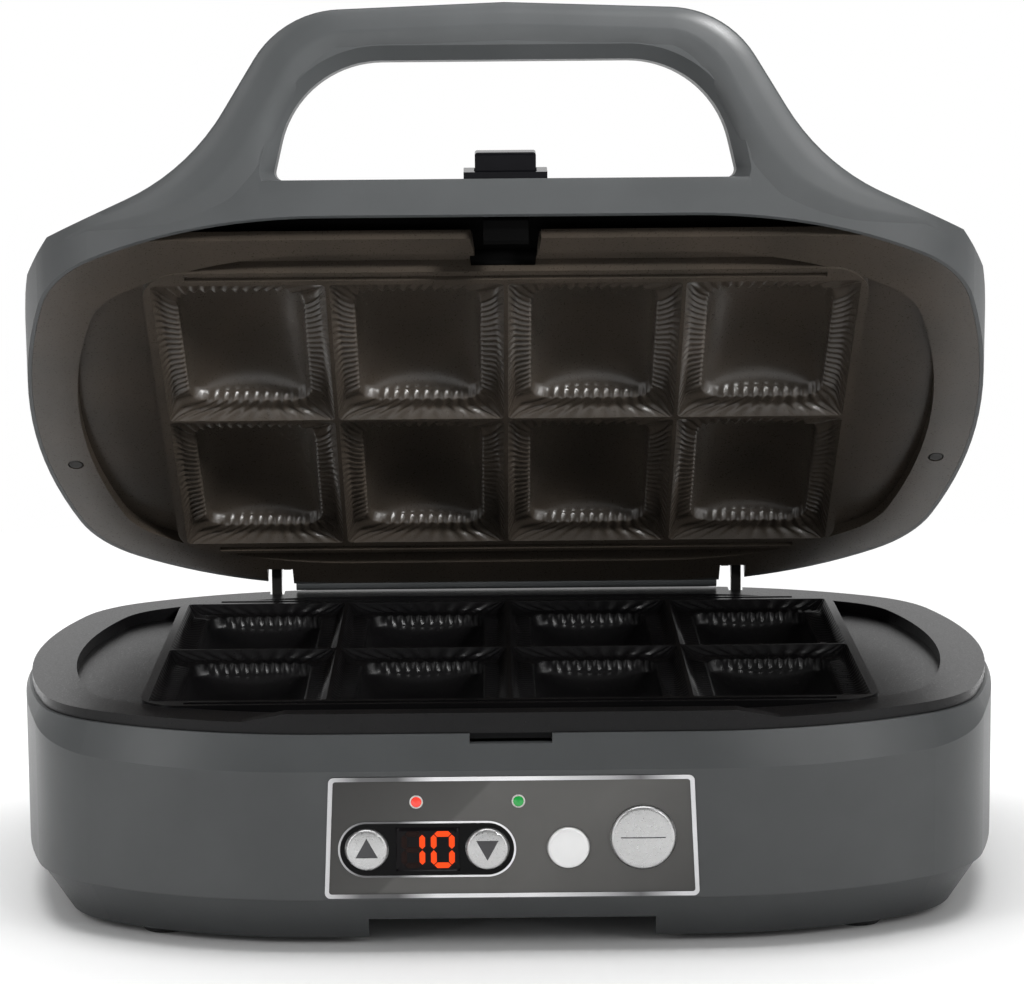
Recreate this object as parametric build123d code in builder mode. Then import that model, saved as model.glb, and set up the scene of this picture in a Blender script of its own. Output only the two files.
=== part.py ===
"""Electric pie maker with a hinged lid.

A low countertop cooker: a plastic base with a control panel, a lid with a forward-leaning
carrying handle, and two die-cast plates that mirror each other, with two rows of four cells.

Millimetres. The origin is on the table under the middle of the cells; +X is to the right,
+Y to the hinge side and +Z up. The lid pieces are drawn closed and swung up at the end.
"""
import os
from math import asin, cos, degrees, radians, sin, tan

from build123d import *

os.makedirs("parts", exist_ok=True)

# ------------------------------------------------------------------ driving sizes
# Plan outline, the same for base and lid: flat front, shoulder arc, corner arc, side arc.
BODY_W = 364.0
BODY_FRONT = 131.5
BODY_REAR = 131.5
LID_REAR = 125.5
SHOULDER_R = 155.0
SHOULDER_TURN = 33.0
SHOULDER_TO_SIDE = 31.6
CORNER_R = 50.0
WALL = 2.5
CLEAR = 0.3

# Heights above the table.
FOOT_H = 2.5
SEAM_Z = 19.5
BODY_TOP_Z = 77.0
RIM_Z = 81.0
PARTING_GAP = 3.0
LID_WALL_H = 18.0
LID_TOP_Z = 128.0

# Base: the rim bevel, the skirt under the seam and its cut-outs.
BEVEL_DEG = 27.0
TOP_SIDE = 1.0
TOP_DEPTH = 125.5
SEAM_GAP = 0.8
SKIRT_STEP = 1.5
SKIRT_TAPER = 12.0
FLOOR_Z = 9.5
SKIRT_CUT_W = 101.0
SKIRT_CUT_D, SKIRT_CUT_Z = 16.0, 10.5
FOOT_R = 9.0
FOOT_X, FOOT_Y = 124.0, 95.0
FOOT_PAD_H = 5.0
FLOOR_SLOT_W, FLOOR_SLOT_L, FLOOR_SLOT_PITCH = 4.0, 42.0, 11.0
FLOOR_SLOT_X, FLOOR_SLOTS = 75.0, 5
POST_INSET = 14.8
POST_R = 4.0
SCREW_R = 1.5
SCREW_HEAD_R, SCREW_HEAD_H = 2.9, 2.0
SCREW_FIT = 0.2
SCREW_HEAD_EDGE = 0.5
POST_SCREW_L, LID_SCREW_L = 12.0, 12.0
INLET_X, INLET_Z, INLET_R = -50.0, 34.0, 7.0

# Plates: rim, pan, the frame round the cells, and the cells.
PLATE_SIDE = 2.0
PLATE_DEPTH = 124.5
PLATE_SEAT = 7.0
PLATE_T = 3.0
PAN_INSET = 16.5
PAN_DEPTH = 4.5
CELL_W, CELL_L = 65.0, 91.0
COLUMNS, ROWS = 4, 2
FRAME_SIDE, FRAME_END = 2.5, 7.0
FRAME_R = 16.0
FRAME_VALLEY = 1.6
RIDGE_H = 0.8
RIDGE_W = 1.4
CRIMP_DEPTH = 3.6
CRIMP_SLOPE = 2.6
CRIMP_W = 5.4
BOWL_DEPTH = 20.0
BOWL_END_LEAN = 6.0
BOWL_R = 11.0
LIP_W, LIP_RAMP, LIP_H, LIP_T = 158.0, 15.0, 3.2, 7.0
LID_PLATE_FRONT = 117.0
LID_REBATE = 1.5
PLATE_FIT = 0.1
LATCH_NOTCH_FRONT_W, LATCH_NOTCH_BACK_W = 27.6, 22.6
LATCH_NOTCH_BACK = 100.0
LID_SCREW_SIDE, LID_SCREW_Y = 13.5, 31.0
LID_SCREW_X = BODY_W / 2 - LID_SCREW_SIDE
BASE_SCREW_X = 40.0

# Heating elements and their sheet-metal trays.
TUBE_R = 3.3
TUBE_BEND = 14.0
TUBE_X, TUBE_Y = 129.5, 91.0
TUBE_END_Y = 80.0
TUBE_FIT = 0.6
TERMINAL_L = 10.0
TRAY_T = 0.8
TRAY_INSET = 14.0
TRAY_TAPER = 15.0
SENSOR_R, SENSOR_H = 4.0, 8.0

# Hinge.
HINGE_Y, HINGE_Z = 121.5, 96.0
HINGE_X = 95.0
EAR_T = 4.0
EAR_R = 6.0
LID_EAR_T = 3.0
EAR_GAP = 0.8
EAR_STEM_W, EAR_TAIL = 4.0, 12.0
EAR_FLANGE_W, EAR_FLANGE_T = 14.0, 3.0
EAR_SLOT_FIT = 1.0
EAR_ARM, EAR_FOOT_W, EAR_FOOT_L = 19.0, 13.0, 8.0
EAR_HEEL, EAR_BACK_H = 8.5, 9.0
PIN_HEAD = 1.0
PIN_R = 3.0
PIN_FIT = 0.05
LID_OPEN = 41.2

# Handle: an arch that leans forward off the front lip of the lid.
HANDLE_LEAN = 45.0
HANDLE_RISE = 36.0
HANDLE_T = 15.0
HANDLE_BACK_T = 11.0
ARCH_TOP = 74.6
HANDLE_SIDE = BODY_W / 2
HANDLE_BACK_X = HANDLE_SIDE - 60.0
SHOULDER_X = HANDLE_SIDE - 42.0
ARCH_SHOULDER = (HANDLE_SIDE - 104.5, 71.8)
ARCH_SHOULDER_R = 37.0
ARCH_WAIST = (HANDLE_SIDE - 69.6, 16.4)
ARCH_WAIST_R = 80.0
ARCH_FOOT = (HANDLE_SIDE - 16.0, -6.8)
ARCH_HEEL = (HANDLE_SIDE - 4.0, -22.0)
ARCH_END = (HANDLE_SIDE + 3.0, -66.0)
GRIP_TOP = 54.8
GRIP_CORNER_X = HANDLE_SIDE - 109.5
GRIP_CORNER_R = 37.0
GRIP_EDGE = 5.0
BAND_TOP = 12.7
BAND_END = HANDLE_SIDE - 99.4
BAND_CORNER_R = 3.0
SCOOP_DEG = 33.0
SCOOP_SIDE = 9.4
SCOOP_W = 2 * (BAND_END + SCOOP_SIDE)
SCOOP_REACH = 100.0
DOME_INSET = 44.0

# Control panel, on the flat front of the base.
PANEL_TOP_Z, PANEL_LOW_Z = 63.3, 19.9
PANEL_TOP_W = 127.2
PANEL_FLARE = 1.9
PANEL_R = 2.0
TRIM_W = 1.6
TRIM_PROUD = 0.4
FACE_T = 2.0
PAD_T = 2.5
PAD_MARGIN = 4.0
CAPSULE_Z = 37.4
CAPSULE_W, CAPSULE_H = 62.0, 20.0
CAPSULE_EDGE = 0.7
CAPSULE_PROUD = 0.3
CAPSULE_SEAT = 1.5
STEP_BUTTON_R = 7.4
STEP_BUTTON_DX = 21.0
EXTRA_Z, EXTRA_R = 37.5, 7.3
START_Z, START_R = 41.0, 11.3
CONTROL_GAPS = (0.11, 0.39, 0.265)
LAMP_R = 2.1
LAMP_RING_R, LAMP_RING_T = 3.0, 1.0
LAMP_PROUD = 0.6
LAMP_Z = 54.3
HEATING_DX, READY_DX = -3.6, 31.9
BUTTON_PROUD = 1.8
BUTTON_TRAVEL = 1.0
BUTTON_GAP = 0.25
BUTTON_EDGE = 1.4
BUTTON_COLLAR, BUTTON_COLLAR_T = 1.0, 1.0
BUTTON_STEM_R = 2.0
BUTTON_STEM_END = 6.0
SWITCH_W, SWITCH_T = 6.0, 2.0
BOARD_T = 1.6
DISPLAY_W, DISPLAY_H = 24.0, 16.4

# Latch: button on top of the lip, hook behind it, keeper under the rim of the lower plate.
LATCH_W, LATCH_D = 21.6, 8.0
LATCH_RISE = 8.8
LATCH_BACK = 2.5
LATCH_SKIRT = 2.5
LATCH_FIT = 0.3
LATCH_EDGE = 1.0
BEZEL_W, BEZEL_H, BEZEL_D = 29.6, 2.2, 12.0
BEZEL_SEAT = 1.0
LATCH_TRAVEL = 1.6
HOOK_Y, HOOK_T, HOOK_W = 127.3, 2.0, 16.0
HOOK_TOP_Z, HOOK_LOW_Z = 96.3, 74.6
HOOK_FRONT_FIT = 0.4
HOOK_PIVOT_Y, HOOK_PIVOT_Z = 126.3, 88.6
LATCH_PIN_R = 1.2
LATCH_PIN_FIT = 0.05
GUARD_T = 2.0
GUARD_W = 256.0
GUARD_BACK = 112.0
GUARD_TONGUE_W = 31.0
NOTCH_W = 28.8
NOTCH_LOW_Z = 73.8
NOTCH_BACK = 121.5

# Electronics on the floor of the base, and the parts that stand on the two boards.
POWER_BOARD_W, POWER_BOARD_L, POWER_BOARD_Y = 120.0, 46.0, 40.0
STANDOFF_H, STANDOFF_R, STANDOFF_INSET = 4.0, 3.0, 4.0
RELAY = (19.0, 15.0, 15.0)
RELAY_PLACE = (-40.5, -6.5)
TRANSFORMER = (28.0, 24.0, 18.0)
TRANSFORMER_PLACE = (6.0, -3.0)
CAPACITOR_R, CAPACITOR_H = 6.0, 16.0
CAPACITOR_X, CAPACITOR_Y, CAPACITOR_PITCH = 38.0, 2.0, 16.0
BOARD_MARGIN = 2.0
PANEL_POST_R, PANEL_POST_X, PANEL_POST_Z = 2.2, 3.0, 6.0
CHIP = (12.0, 2.0, 12.0)
CHIP_PLACE = (-12.0, 36.0)
PLUG = (14.0, 5.0, 6.0)
PLUG_PLACE = (27.0, 29.0)
TERMINAL_W, TERMINAL_D, TERMINAL_H = 28.0, 14.0, 10.0
TERMINAL_Y = 91.0
TERMINAL_HOLE_R, TERMINAL_HOLE_PITCH = 2.0, 9.0
GLAND_BORE_R, GLAND_NECK_R, GLAND_NUT_R, GLAND_FLANGE_R = 3.5, 8.0, 8.5, 9.5
GLAND_NUT_T = 2.0
GLAND_PROUD = 1.8

# ------------------------------------------------------------------ derived places
LID_Z = RIM_Z + PARTING_GAP
LID_WALL_Z = LID_Z + LID_WALL_H
RIM_T = RIM_Z - BODY_TOP_Z
LEAN = radians(HANDLE_LEAN)
RISE = radians(HANDLE_RISE)
SCOOP = radians(SCOOP_DEG)
HANDLE_DIR = Vector(0, -sin(LEAN), cos(LEAN))
HANDLE_BACK_DIR = Vector(0, cos(RISE), sin(RISE))
HANDLE_PLANE = Plane(
    origin=(0, -BODY_FRONT, LID_Z), x_dir=(1, 0, 0), z_dir=(0, -cos(LEAN), -sin(LEAN))
)
BAND_EDGE_Y = -BODY_FRONT - BAND_TOP * sin(LEAN)
BAND_EDGE_Z = LID_Z + BAND_TOP * cos(LEAN)
LATCH_PLANE = Plane(origin=(0, BAND_EDGE_Y, BAND_EDGE_Z), x_dir=(1, 0, 0), z_dir=HANDLE_DIR)
PANEL_Y = -BODY_FRONT
PANEL_LOW_W = PANEL_TOP_W + 2 * PANEL_FLARE
PANEL_SPARE = PANEL_TOP_W - CAPSULE_W - 2 * EXTRA_R - 2 * START_R
CAPSULE_X = -PANEL_TOP_W / 2 + CONTROL_GAPS[0] * PANEL_SPARE + CAPSULE_W / 2
EXTRA_X = CAPSULE_X + CAPSULE_W / 2 + CONTROL_GAPS[1] * PANEL_SPARE + EXTRA_R
START_X = EXTRA_X + EXTRA_R + CONTROL_GAPS[2] * PANEL_SPARE + START_R
HINGE_AXIS = Axis((0, HINGE_Y, HINGE_Z), (-1, 0, 0))
SLAB_BACK = PAN_DEPTH + PLATE_T
LOWER_SLAB_Z = RIM_Z - SLAB_BACK
UPPER_SLAB_Z = LID_Z + SLAB_BACK
BOWL_W = CELL_W - RIDGE_W - 2 * (CRIMP_SLOPE + CRIMP_W)
BOWL_L = CELL_L - RIDGE_W - 2 * (CRIMP_SLOPE + CRIMP_W)
FRAME_W = COLUMNS * CELL_W + 2 * FRAME_SIDE
FRAME_L = ROWS * CELL_L + 2 * FRAME_END
TRAY_DROP = CRIMP_DEPTH + BOWL_DEPTH + PLATE_T + TRAY_T - SLAB_BACK
POST_TURN = radians(SHOULDER_TURN)
POST_X = BODY_W / 2 - SHOULDER_TO_SIDE - POST_INSET * sin(POST_TURN)
POST_Y = BODY_FRONT - SHOULDER_R + (SHOULDER_R - POST_INSET) * cos(POST_TURN)
POST_PLACES = [(sx * POST_X, sy * POST_Y) for sx in (-1, 1) for sy in (-1, 1)]
FOOT_PLACES = [(sx * FOOT_X, sy * FOOT_Y) for sx in (-1, 1) for sy in (-1, 1)]
FLOOR_TOP_Z = FLOOR_Z + WALL
RIM_SCREW_Y = TOP_DEPTH - WALL - SCREW_HEAD_R - CLEAR
RIM_SCREW_PLACES = [(sx * BASE_SCREW_X, sy * RIM_SCREW_Y) for sx in (-1, 1) for sy in (-1, 1)]
LID_SCREW_PLACES = [(sx * LID_SCREW_X, LID_SCREW_Y) for sx in (-1, 1)]
SWITCH_Y = PANEL_Y + BUTTON_STEM_END + BUTTON_TRAVEL + CLEAR
BOARD_Y = SWITCH_Y + SWITCH_T
EAR_NEAR = EAR_T / 2 + EAR_GAP
EAR_FOOT_Y = HINGE_Y - EAR_ARM
EAR_FOOT_X = HINGE_X - EAR_NEAR - EAR_FOOT_W
EAR_SLOT = (HINGE_X - EAR_NEAR - LID_EAR_T - PIN_HEAD - CLEAR, HINGE_X + EAR_T / 2 + PIN_HEAD + CLEAR)

def keep(piece, name, lid=False):
    """Label a finished piece and swing it up with the lid if it belongs there."""
    shape = piece.part.rotate(HINGE_AXIS, LID_OPEN) if lid else piece.part
    shape.label = name
    export_step(shape, f"parts/{name}.step")


# ------------------------------------------------------------------ plan outline
def quarter_outline(half_w, depth):
    """One quarter of the plan outline, from mid-front to the widest point of the side."""
    turn = radians(SHOULDER_TURN)
    flat_end = half_w - SHOULDER_TO_SIDE - SHOULDER_R * sin(turn)
    shoulder_y = depth - SHOULDER_R * (1 - cos(turn))
    across = SHOULDER_TO_SIDE + CORNER_R * sin(turn) - CORNER_R
    along = shoulder_y - CORNER_R * cos(turn)
    extra = (across**2 + along**2) / (2 * across)
    side_start = degrees(asin((extra - across) / extra))
    with BuildLine() as quarter:
        flat = Line((0, -depth), (flat_end, -depth))
        shoulder = JernArc(flat @ 1, (1, 0), SHOULDER_R, SHOULDER_TURN)
        corner = JernArc(shoulder @ 1, shoulder % 1, CORNER_R, side_start - SHOULDER_TURN)
        JernArc(corner @ 1, corner % 1, CORNER_R + extra, 90 - side_start)
    return quarter.line


def plan_outline(width, front, rear):
    """Closed plan outline with its own depth in front of and behind the widest line."""
    with BuildSketch() as sketch:
        with BuildLine():
            add(quarter_outline(width / 2, front))
            add(quarter_outline(width / 2, rear).mirror(Plane.XZ))
            mirror(about=Plane.YZ)
        make_face()
    return sketch.face()


def inset(face, distance):
    """The outline moved inwards (or outwards, for a negative distance)."""
    if distance == 0:
        return face
    with BuildSketch() as sketch:
        offset(face, amount=-distance, kind=Kind.INTERSECTION)
    return sketch.face()


BODY_PLAN = plan_outline(BODY_W, BODY_FRONT, BODY_REAR)
TOP_PLAN = plan_outline(BODY_W - 2 * TOP_SIDE, TOP_DEPTH, TOP_DEPTH)
PLATE_PLAN = plan_outline(BODY_W - 2 * PLATE_SIDE, PLATE_DEPTH, PLATE_DEPTH)
LID_PLAN = plan_outline(BODY_W, BODY_FRONT, LID_REAR)


def slab(face, low, high, mode=Mode.ADD):
    """A flat slab of a plan face between two heights."""
    with BuildSketch(Plane.XY.offset(low)) as section:
        add(face)
    extrude(section.sketch, amount=high - low, mode=mode)


def taper(low_face, low, high_face, high, mode=Mode.ADD):
    """A tapering wall between two plan faces."""
    with BuildSketch(Plane.XY.offset(low)) as bottom:
        add(low_face)
    with BuildSketch(Plane.XY.offset(high)) as top:
        add(high_face)
    loft([bottom.sketch, top.sketch], ruled=True, mode=mode)


def box_between(low, high, mode=Mode.ADD):
    """A box between two opposite corners."""
    size = [b - a for a, b in zip(low, high)]
    middle = [(a + b) / 2 for a, b in zip(low, high)]
    with Locations(tuple(middle)):
        Box(*size, mode=mode)


# ------------------------------------------------------------------ base housing
def bevelled_form(wall):
    """Upright body wall whose top leans in to the plate: the outer form, or its inside."""
    top = BODY_TOP_Z - wall
    grow = (top - SEAM_Z) * tan(radians(BEVEL_DEG))
    with BuildPart() as form:
        slab(inset(BODY_PLAN, wall), SEAM_Z, top)
        taper(inset(TOP_PLAN, wall - grow), SEAM_Z, inset(TOP_PLAN, wall), top, Mode.INTERSECT)
    return form.part


def panel_outline(margin, radius=PANEL_R):
    """The trapezoid of the control panel, inset by a margin, seen from the front."""
    low, high = PANEL_LOW_Z + margin, PANEL_TOP_Z - margin
    low_x, high_x = PANEL_LOW_W / 2 - margin, PANEL_TOP_W / 2 - margin
    with BuildSketch() as sketch:
        with BuildLine():
            Polyline((-low_x, low), (low_x, low), (high_x, high), (-high_x, high), close=True)
        make_face()
        fillet(sketch.vertices(), radius=radius)
    return sketch.face()


def front_plane(depth=0.0):
    """Upright plane facing the front, a depth behind the flat front of the base."""
    return Plane(origin=(0, PANEL_Y + depth, 0), x_dir=(1, 0, 0), z_dir=(0, -1, 0))


def front_slab(face, near, far, mode=Mode.ADD):
    """A slab of a panel face between two depths behind the flat front of the base."""
    with BuildSketch(front_plane(near)) as section:
        add(face)
    extrude(section.sketch, amount=near - far, mode=mode)


def disc(x, z, radius):
    """A round hole or cap of the control panel."""
    with BuildSketch() as sketch:
        with Locations((x, z)):
            Circle(radius)
    return sketch.face()


def capsule(margin):
    """The long round-ended window that holds the display and its two buttons."""
    with BuildSketch() as sketch:
        with Locations((CAPSULE_X, CAPSULE_Z)):
            SlotOverall(CAPSULE_W - 2 * margin, CAPSULE_H - 2 * margin)
    return sketch.face()


BUTTONS = {
    "up_button": (CAPSULE_X - STEP_BUTTON_DX, CAPSULE_Z, STEP_BUTTON_R),
    "down_button": (CAPSULE_X + STEP_BUTTON_DX, CAPSULE_Z, STEP_BUTTON_R),
    "extra_button": (EXTRA_X, EXTRA_Z, EXTRA_R),
    "start_button": (START_X, START_Z, START_R),
}
LAMPS = {"heating_lamp": CAPSULE_X + HEATING_DX, "ready_lamp": CAPSULE_X + READY_DX}

with BuildPart() as base_housing:
    add(bevelled_form(0))
    add(bevelled_form(WALL), mode=Mode.SUBTRACT)
    box_between(
        (-PANEL_LOW_W / 2 - PAD_MARGIN, PANEL_Y + WALL / 2, SEAM_Z),
        (PANEL_LOW_W / 2 + PAD_MARGIN, PANEL_Y + FACE_T + PAD_T, PANEL_TOP_Z + PAD_MARGIN),
    )
    slab(inset(PLATE_PLAN, PLATE_SEAT), BODY_TOP_Z - 2 * WALL, BODY_TOP_Z, Mode.SUBTRACT)
    with Locations(*[(x, y, FLOOR_TOP_Z) for x, y in POST_PLACES]):
        Cylinder(POST_R, BODY_TOP_Z - WALL - FLOOR_TOP_Z, align=(Align.CENTER, Align.CENTER, Align.MIN))
    with Locations(*[(x, y, FLOOR_TOP_Z) for x, y in POST_PLACES]):
        Cylinder(SCREW_R, POST_SCREW_L, align=(Align.CENTER, Align.CENTER, Align.MIN), mode=Mode.SUBTRACT)
    with Locations(*[(x, y, BODY_TOP_Z) for x, y in RIM_SCREW_PLACES]):
        Cylinder(SCREW_R + SCREW_FIT, 2 * WALL, mode=Mode.SUBTRACT)
    front_slab(panel_outline(0), 0, FACE_T, Mode.SUBTRACT)
    front_slab(capsule(CAPSULE_SEAT), FACE_T - 1, FACE_T + 2 * PAD_T, Mode.SUBTRACT)
    for x, z, radius in BUTTONS.values():
        front_slab(disc(x, z, radius + BUTTON_COLLAR + CLEAR), 0, FACE_T + 2 * PAD_T, Mode.SUBTRACT)
    for x in LAMPS.values():
        front_slab(disc(x, LAMP_Z, LAMP_RING_R), 0, FACE_T + 2 * PAD_T, Mode.SUBTRACT)
    box_between(
        (-NOTCH_W / 2, -BODY_FRONT - 1, NOTCH_LOW_Z),
        (NOTCH_W / 2, -NOTCH_BACK, BODY_TOP_Z + 1),
        Mode.SUBTRACT,
    )
    with Locations(Plane(origin=(INLET_X, BODY_REAR, INLET_Z), z_dir=(0, 1, 0))):
        Cylinder(INLET_R, 4 * WALL, mode=Mode.SUBTRACT)
    for side in (-1, 1):
        box_between(
            (side * HINGE_X - EAR_T / 2 - EAR_SLOT_FIT, HINGE_Y - EAR_R - EAR_SLOT_FIT, BODY_TOP_Z - 2 * WALL),
            (side * HINGE_X + EAR_T / 2 + EAR_SLOT_FIT, HINGE_Y - EAR_R + EAR_STEM_W + EAR_SLOT_FIT, BODY_TOP_Z + 1),
            Mode.SUBTRACT,
        )
keep(base_housing, "base_housing")


# ------------------------------------------------------------------ base cover, feet and screws
SKIRT_TOP_Z = SEAM_Z - SEAM_GAP


def skirt_form(wall, low, high):
    """The tapering skirt below the seam, or its inside, between two heights."""
    run = SKIRT_TAPER - SKIRT_STEP
    rise = SKIRT_TOP_Z - FOOT_H
    low_inset = SKIRT_STEP + wall + run * (SKIRT_TOP_Z - low) / rise
    high_inset = SKIRT_STEP + wall + run * (SKIRT_TOP_Z - high) / rise
    with BuildPart() as form:
        taper(inset(BODY_PLAN, low_inset), low, inset(BODY_PLAN, high_inset), high)
    return form.part


with BuildPart() as base_cover:
    add(skirt_form(0, FOOT_H, SKIRT_TOP_Z))
    slab(inset(BODY_PLAN, SKIRT_STEP), SKIRT_TOP_Z, SEAM_Z)
    add(skirt_form(WALL, FLOOR_TOP_Z, SKIRT_TOP_Z), mode=Mode.SUBTRACT)
    slab(inset(BODY_PLAN, SKIRT_STEP + WALL), SKIRT_TOP_Z, SEAM_Z, Mode.SUBTRACT)
    add(skirt_form(WALL, FOOT_H, FLOOR_Z), mode=Mode.SUBTRACT)
    with Locations(*[(x, y, FOOT_H) for x, y in FOOT_PLACES]):
        Cylinder(FOOT_R + WALL, FLOOR_Z - FOOT_H, align=(Align.CENTER, Align.CENTER, Align.MIN))
    with Locations(*[(x, y, 0) for x, y in FOOT_PLACES]):
        Cylinder(FOOT_R, FOOT_PAD_H, align=(Align.CENTER, Align.CENTER, Align.MIN), mode=Mode.SUBTRACT)
    box_between(
        (-SKIRT_CUT_W / 2, -BODY_FRONT, 0), (SKIRT_CUT_W / 2, -BODY_FRONT + SKIRT_CUT_D, SKIRT_CUT_Z), Mode.SUBTRACT
    )
    with Locations(*[(x, y, FLOOR_TOP_Z) for x, y in POST_PLACES]):
        Cylinder(SCREW_R + SCREW_FIT, 2 * WALL, mode=Mode.SUBTRACT)
    with BuildSketch(Plane.XY.offset(FLOOR_Z)):
        for side in (-1, 1):
            with Locations((side * FLOOR_SLOT_X, 0)):
                with GridLocations(FLOOR_SLOT_PITCH, 0, FLOOR_SLOTS, 1):
                    SlotOverall(FLOOR_SLOT_L, FLOOR_SLOT_W, rotation=90)
    extrude(amount=WALL, mode=Mode.SUBTRACT)
keep(base_cover, "base_cover")

with BuildPart() as rubber_feet:
    with Locations(*[(x, y, 0) for x, y in FOOT_PLACES]):
        Cylinder(FOOT_R, FOOT_PAD_H, align=(Align.CENTER, Align.CENTER, Align.MIN))
    chamfer(rubber_feet.faces().sort_by(Axis.Z)[:4].edges(), length=1)
keep(rubber_feet, "rubber_feet")


def screws(places, seat_z, length):
    """Pan-head screws whose heads hang below a seat height, with their shanks up from it."""
    with BuildPart() as group:
        with Locations(*[(x, y, seat_z) for x, y in places]):
            Cylinder(SCREW_HEAD_R, SCREW_HEAD_H, align=(Align.CENTER, Align.CENTER, Align.MAX))
            Cylinder(SCREW_R, length, align=(Align.CENTER, Align.CENTER, Align.MIN))
        chamfer(group.faces().group_by(Axis.Z)[0].edges(), length=SCREW_HEAD_EDGE)
    return group


keep(screws(POST_PLACES, FLOOR_Z, POST_SCREW_L), "base_screws")


# ------------------------------------------------------------------ cell plates
def arch_profile(wall):
    """Cross-section of a bowl: a round trough below the crimp flange."""
    half = BOWL_W / 2 + wall
    with BuildSketch(Plane.XZ.offset(BOWL_L)) as sketch:
        with BuildLine():
            ThreePointArc((-half, -CRIMP_DEPTH), (0, -CRIMP_DEPTH - BOWL_DEPTH - wall), (half, -CRIMP_DEPTH))
            Line((half, -CRIMP_DEPTH), (-half, -CRIMP_DEPTH))
        make_face()
    return sketch.sketch


def length_profile(wall):
    """Lengthwise section of a bowl: leaning ends rounded into the floor."""
    half = BOWL_L / 2 + wall
    floor = -CRIMP_DEPTH - BOWL_DEPTH - wall - 0.5
    with BuildSketch(Plane.YZ.offset(-BOWL_W)) as sketch:
        with BuildLine():
            FilletPolyline(
                (-half, -CRIMP_DEPTH),
                (-half + BOWL_END_LEAN, floor),
                (half - BOWL_END_LEAN, floor),
                (half, -CRIMP_DEPTH),
                radius=BOWL_R,
            )
            Line((half, -CRIMP_DEPTH), (-half, -CRIMP_DEPTH))
        make_face()
    return sketch.sketch


def bowl(wall):
    """One bowl below the crimp flange, or its outside, where its trough meets its ends."""
    with BuildPart() as form:
        extrude(arch_profile(wall), amount=-2 * BOWL_L)
        extrude(length_profile(wall), amount=2 * BOWL_W, mode=Mode.INTERSECT)
    return form.part


def rounded(width, length, radius):
    """A rounded rectangle about the middle of the cells."""
    with BuildSketch() as sketch:
        RectangleRounded(width, length, radius)
    return sketch.face()


def crimp_pocket():
    """The sloping sides of one cell, from its sharp ridge down to the crimp flange."""
    top_w, top_l = CELL_W - RIDGE_W, CELL_L - RIDGE_W
    with BuildPart() as form:
        taper(
            rounded(top_w - 2 * CRIMP_SLOPE, top_l - 2 * CRIMP_SLOPE, 2),
            -CRIMP_DEPTH,
            rounded(top_w, top_l, 2),
            RIDGE_H,
        )
    return form.part


def cell_casting(rim_plan):
    """A die-cast plate with its rim plane at z = 0 and its bowls hanging below."""
    pan = inset(PLATE_PLAN, PAN_INSET)
    cells = GridLocations(CELL_W, CELL_L, COLUMNS, ROWS).locations
    with BuildPart() as casting:
        slab(rim_plan, -RIM_T, 0)
        slab(inset(PLATE_PLAN, PAN_INSET - PLATE_T), -SLAB_BACK, -RIM_T)
        slab(pan, -PAN_DEPTH, RIDGE_H, Mode.SUBTRACT)
        slab(rounded(FRAME_W, FRAME_L, FRAME_R), -PAN_DEPTH, RIDGE_H)
        for end in (-1, 1):
            valley = end * (ROWS * CELL_L / 2 + FRAME_END / 2)
            box_between(
                (-FRAME_W / 2 + FRAME_R, valley - FRAME_VALLEY, -FRAME_VALLEY / 2),
                (FRAME_W / 2 - FRAME_R, valley + FRAME_VALLEY, RIDGE_H),
                Mode.SUBTRACT,
            )
        with Locations(*cells):
            add(bowl(PLATE_T))
        with Locations(*cells):
            add(crimp_pocket(), mode=Mode.SUBTRACT)
        with Locations(*cells):
            add(bowl(0), mode=Mode.SUBTRACT)
    return casting.part


def front_lip():
    """The raised lip along the front of the lower plate, with ramps at its two ends."""
    with BuildPart() as lip:
        with BuildSketch(Plane.XZ.offset(PLATE_DEPTH)):
            with BuildLine():
                Polyline(
                    (-LIP_W / 2 - LIP_RAMP, 0),
                    (-LIP_W / 2, LIP_H),
                    (LIP_W / 2, LIP_H),
                    (LIP_W / 2 + LIP_RAMP, 0),
                    (LIP_W / 2 + LIP_RAMP, -1),
                    (-LIP_W / 2 - LIP_RAMP, -1),
                    close=True,
                )
            make_face()
        extrude(amount=-LIP_T)
        slab(PLATE_PLAN, -1, LIP_H, Mode.INTERSECT)
    return lip.part


with BuildPart() as lower_plate:
    add(cell_casting(PLATE_PLAN).moved(Location((0, 0, RIM_Z))))
    add(front_lip().moved(Location((0, 0, RIM_Z))))
    for side in (-1, 1):
        box_between(
            (side * HINGE_X - EAR_T / 2 - EAR_SLOT_FIT, HINGE_Y - EAR_R - EAR_SLOT_FIT, BODY_TOP_Z),
            (side * HINGE_X + EAR_T / 2 + EAR_SLOT_FIT, BODY_REAR, RIM_Z),
            Mode.SUBTRACT,
        )
    with Locations(*[(x, y, BODY_TOP_Z) for x, y in RIM_SCREW_PLACES]):
        Cylinder(SCREW_R, RIM_T - 1, align=(Align.CENTER, Align.CENTER, Align.MIN), mode=Mode.SUBTRACT)
keep(lower_plate, "lower_plate")
keep(screws(RIM_SCREW_PLACES, BODY_TOP_Z - WALL, WALL + RIM_T - 1.5), "lower_plate_screws")

with BuildSketch() as upper_rim:
    add(inset(LID_PLAN, LID_REBATE + PLATE_FIT))
    with Locations((0, -LID_PLATE_FRONT - BODY_FRONT)):
        Rectangle(2 * BODY_W, 2 * BODY_FRONT, mode=Mode.SUBTRACT)

with BuildSketch() as latch_notch:
    with BuildLine():
        Polyline(
            (-LATCH_NOTCH_FRONT_W / 2, -BODY_FRONT),
            (LATCH_NOTCH_FRONT_W / 2, -BODY_FRONT),
            (LATCH_NOTCH_BACK_W / 2, -LATCH_NOTCH_BACK),
            (-LATCH_NOTCH_BACK_W / 2, -LATCH_NOTCH_BACK),
            close=True,
        )
    make_face()

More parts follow.
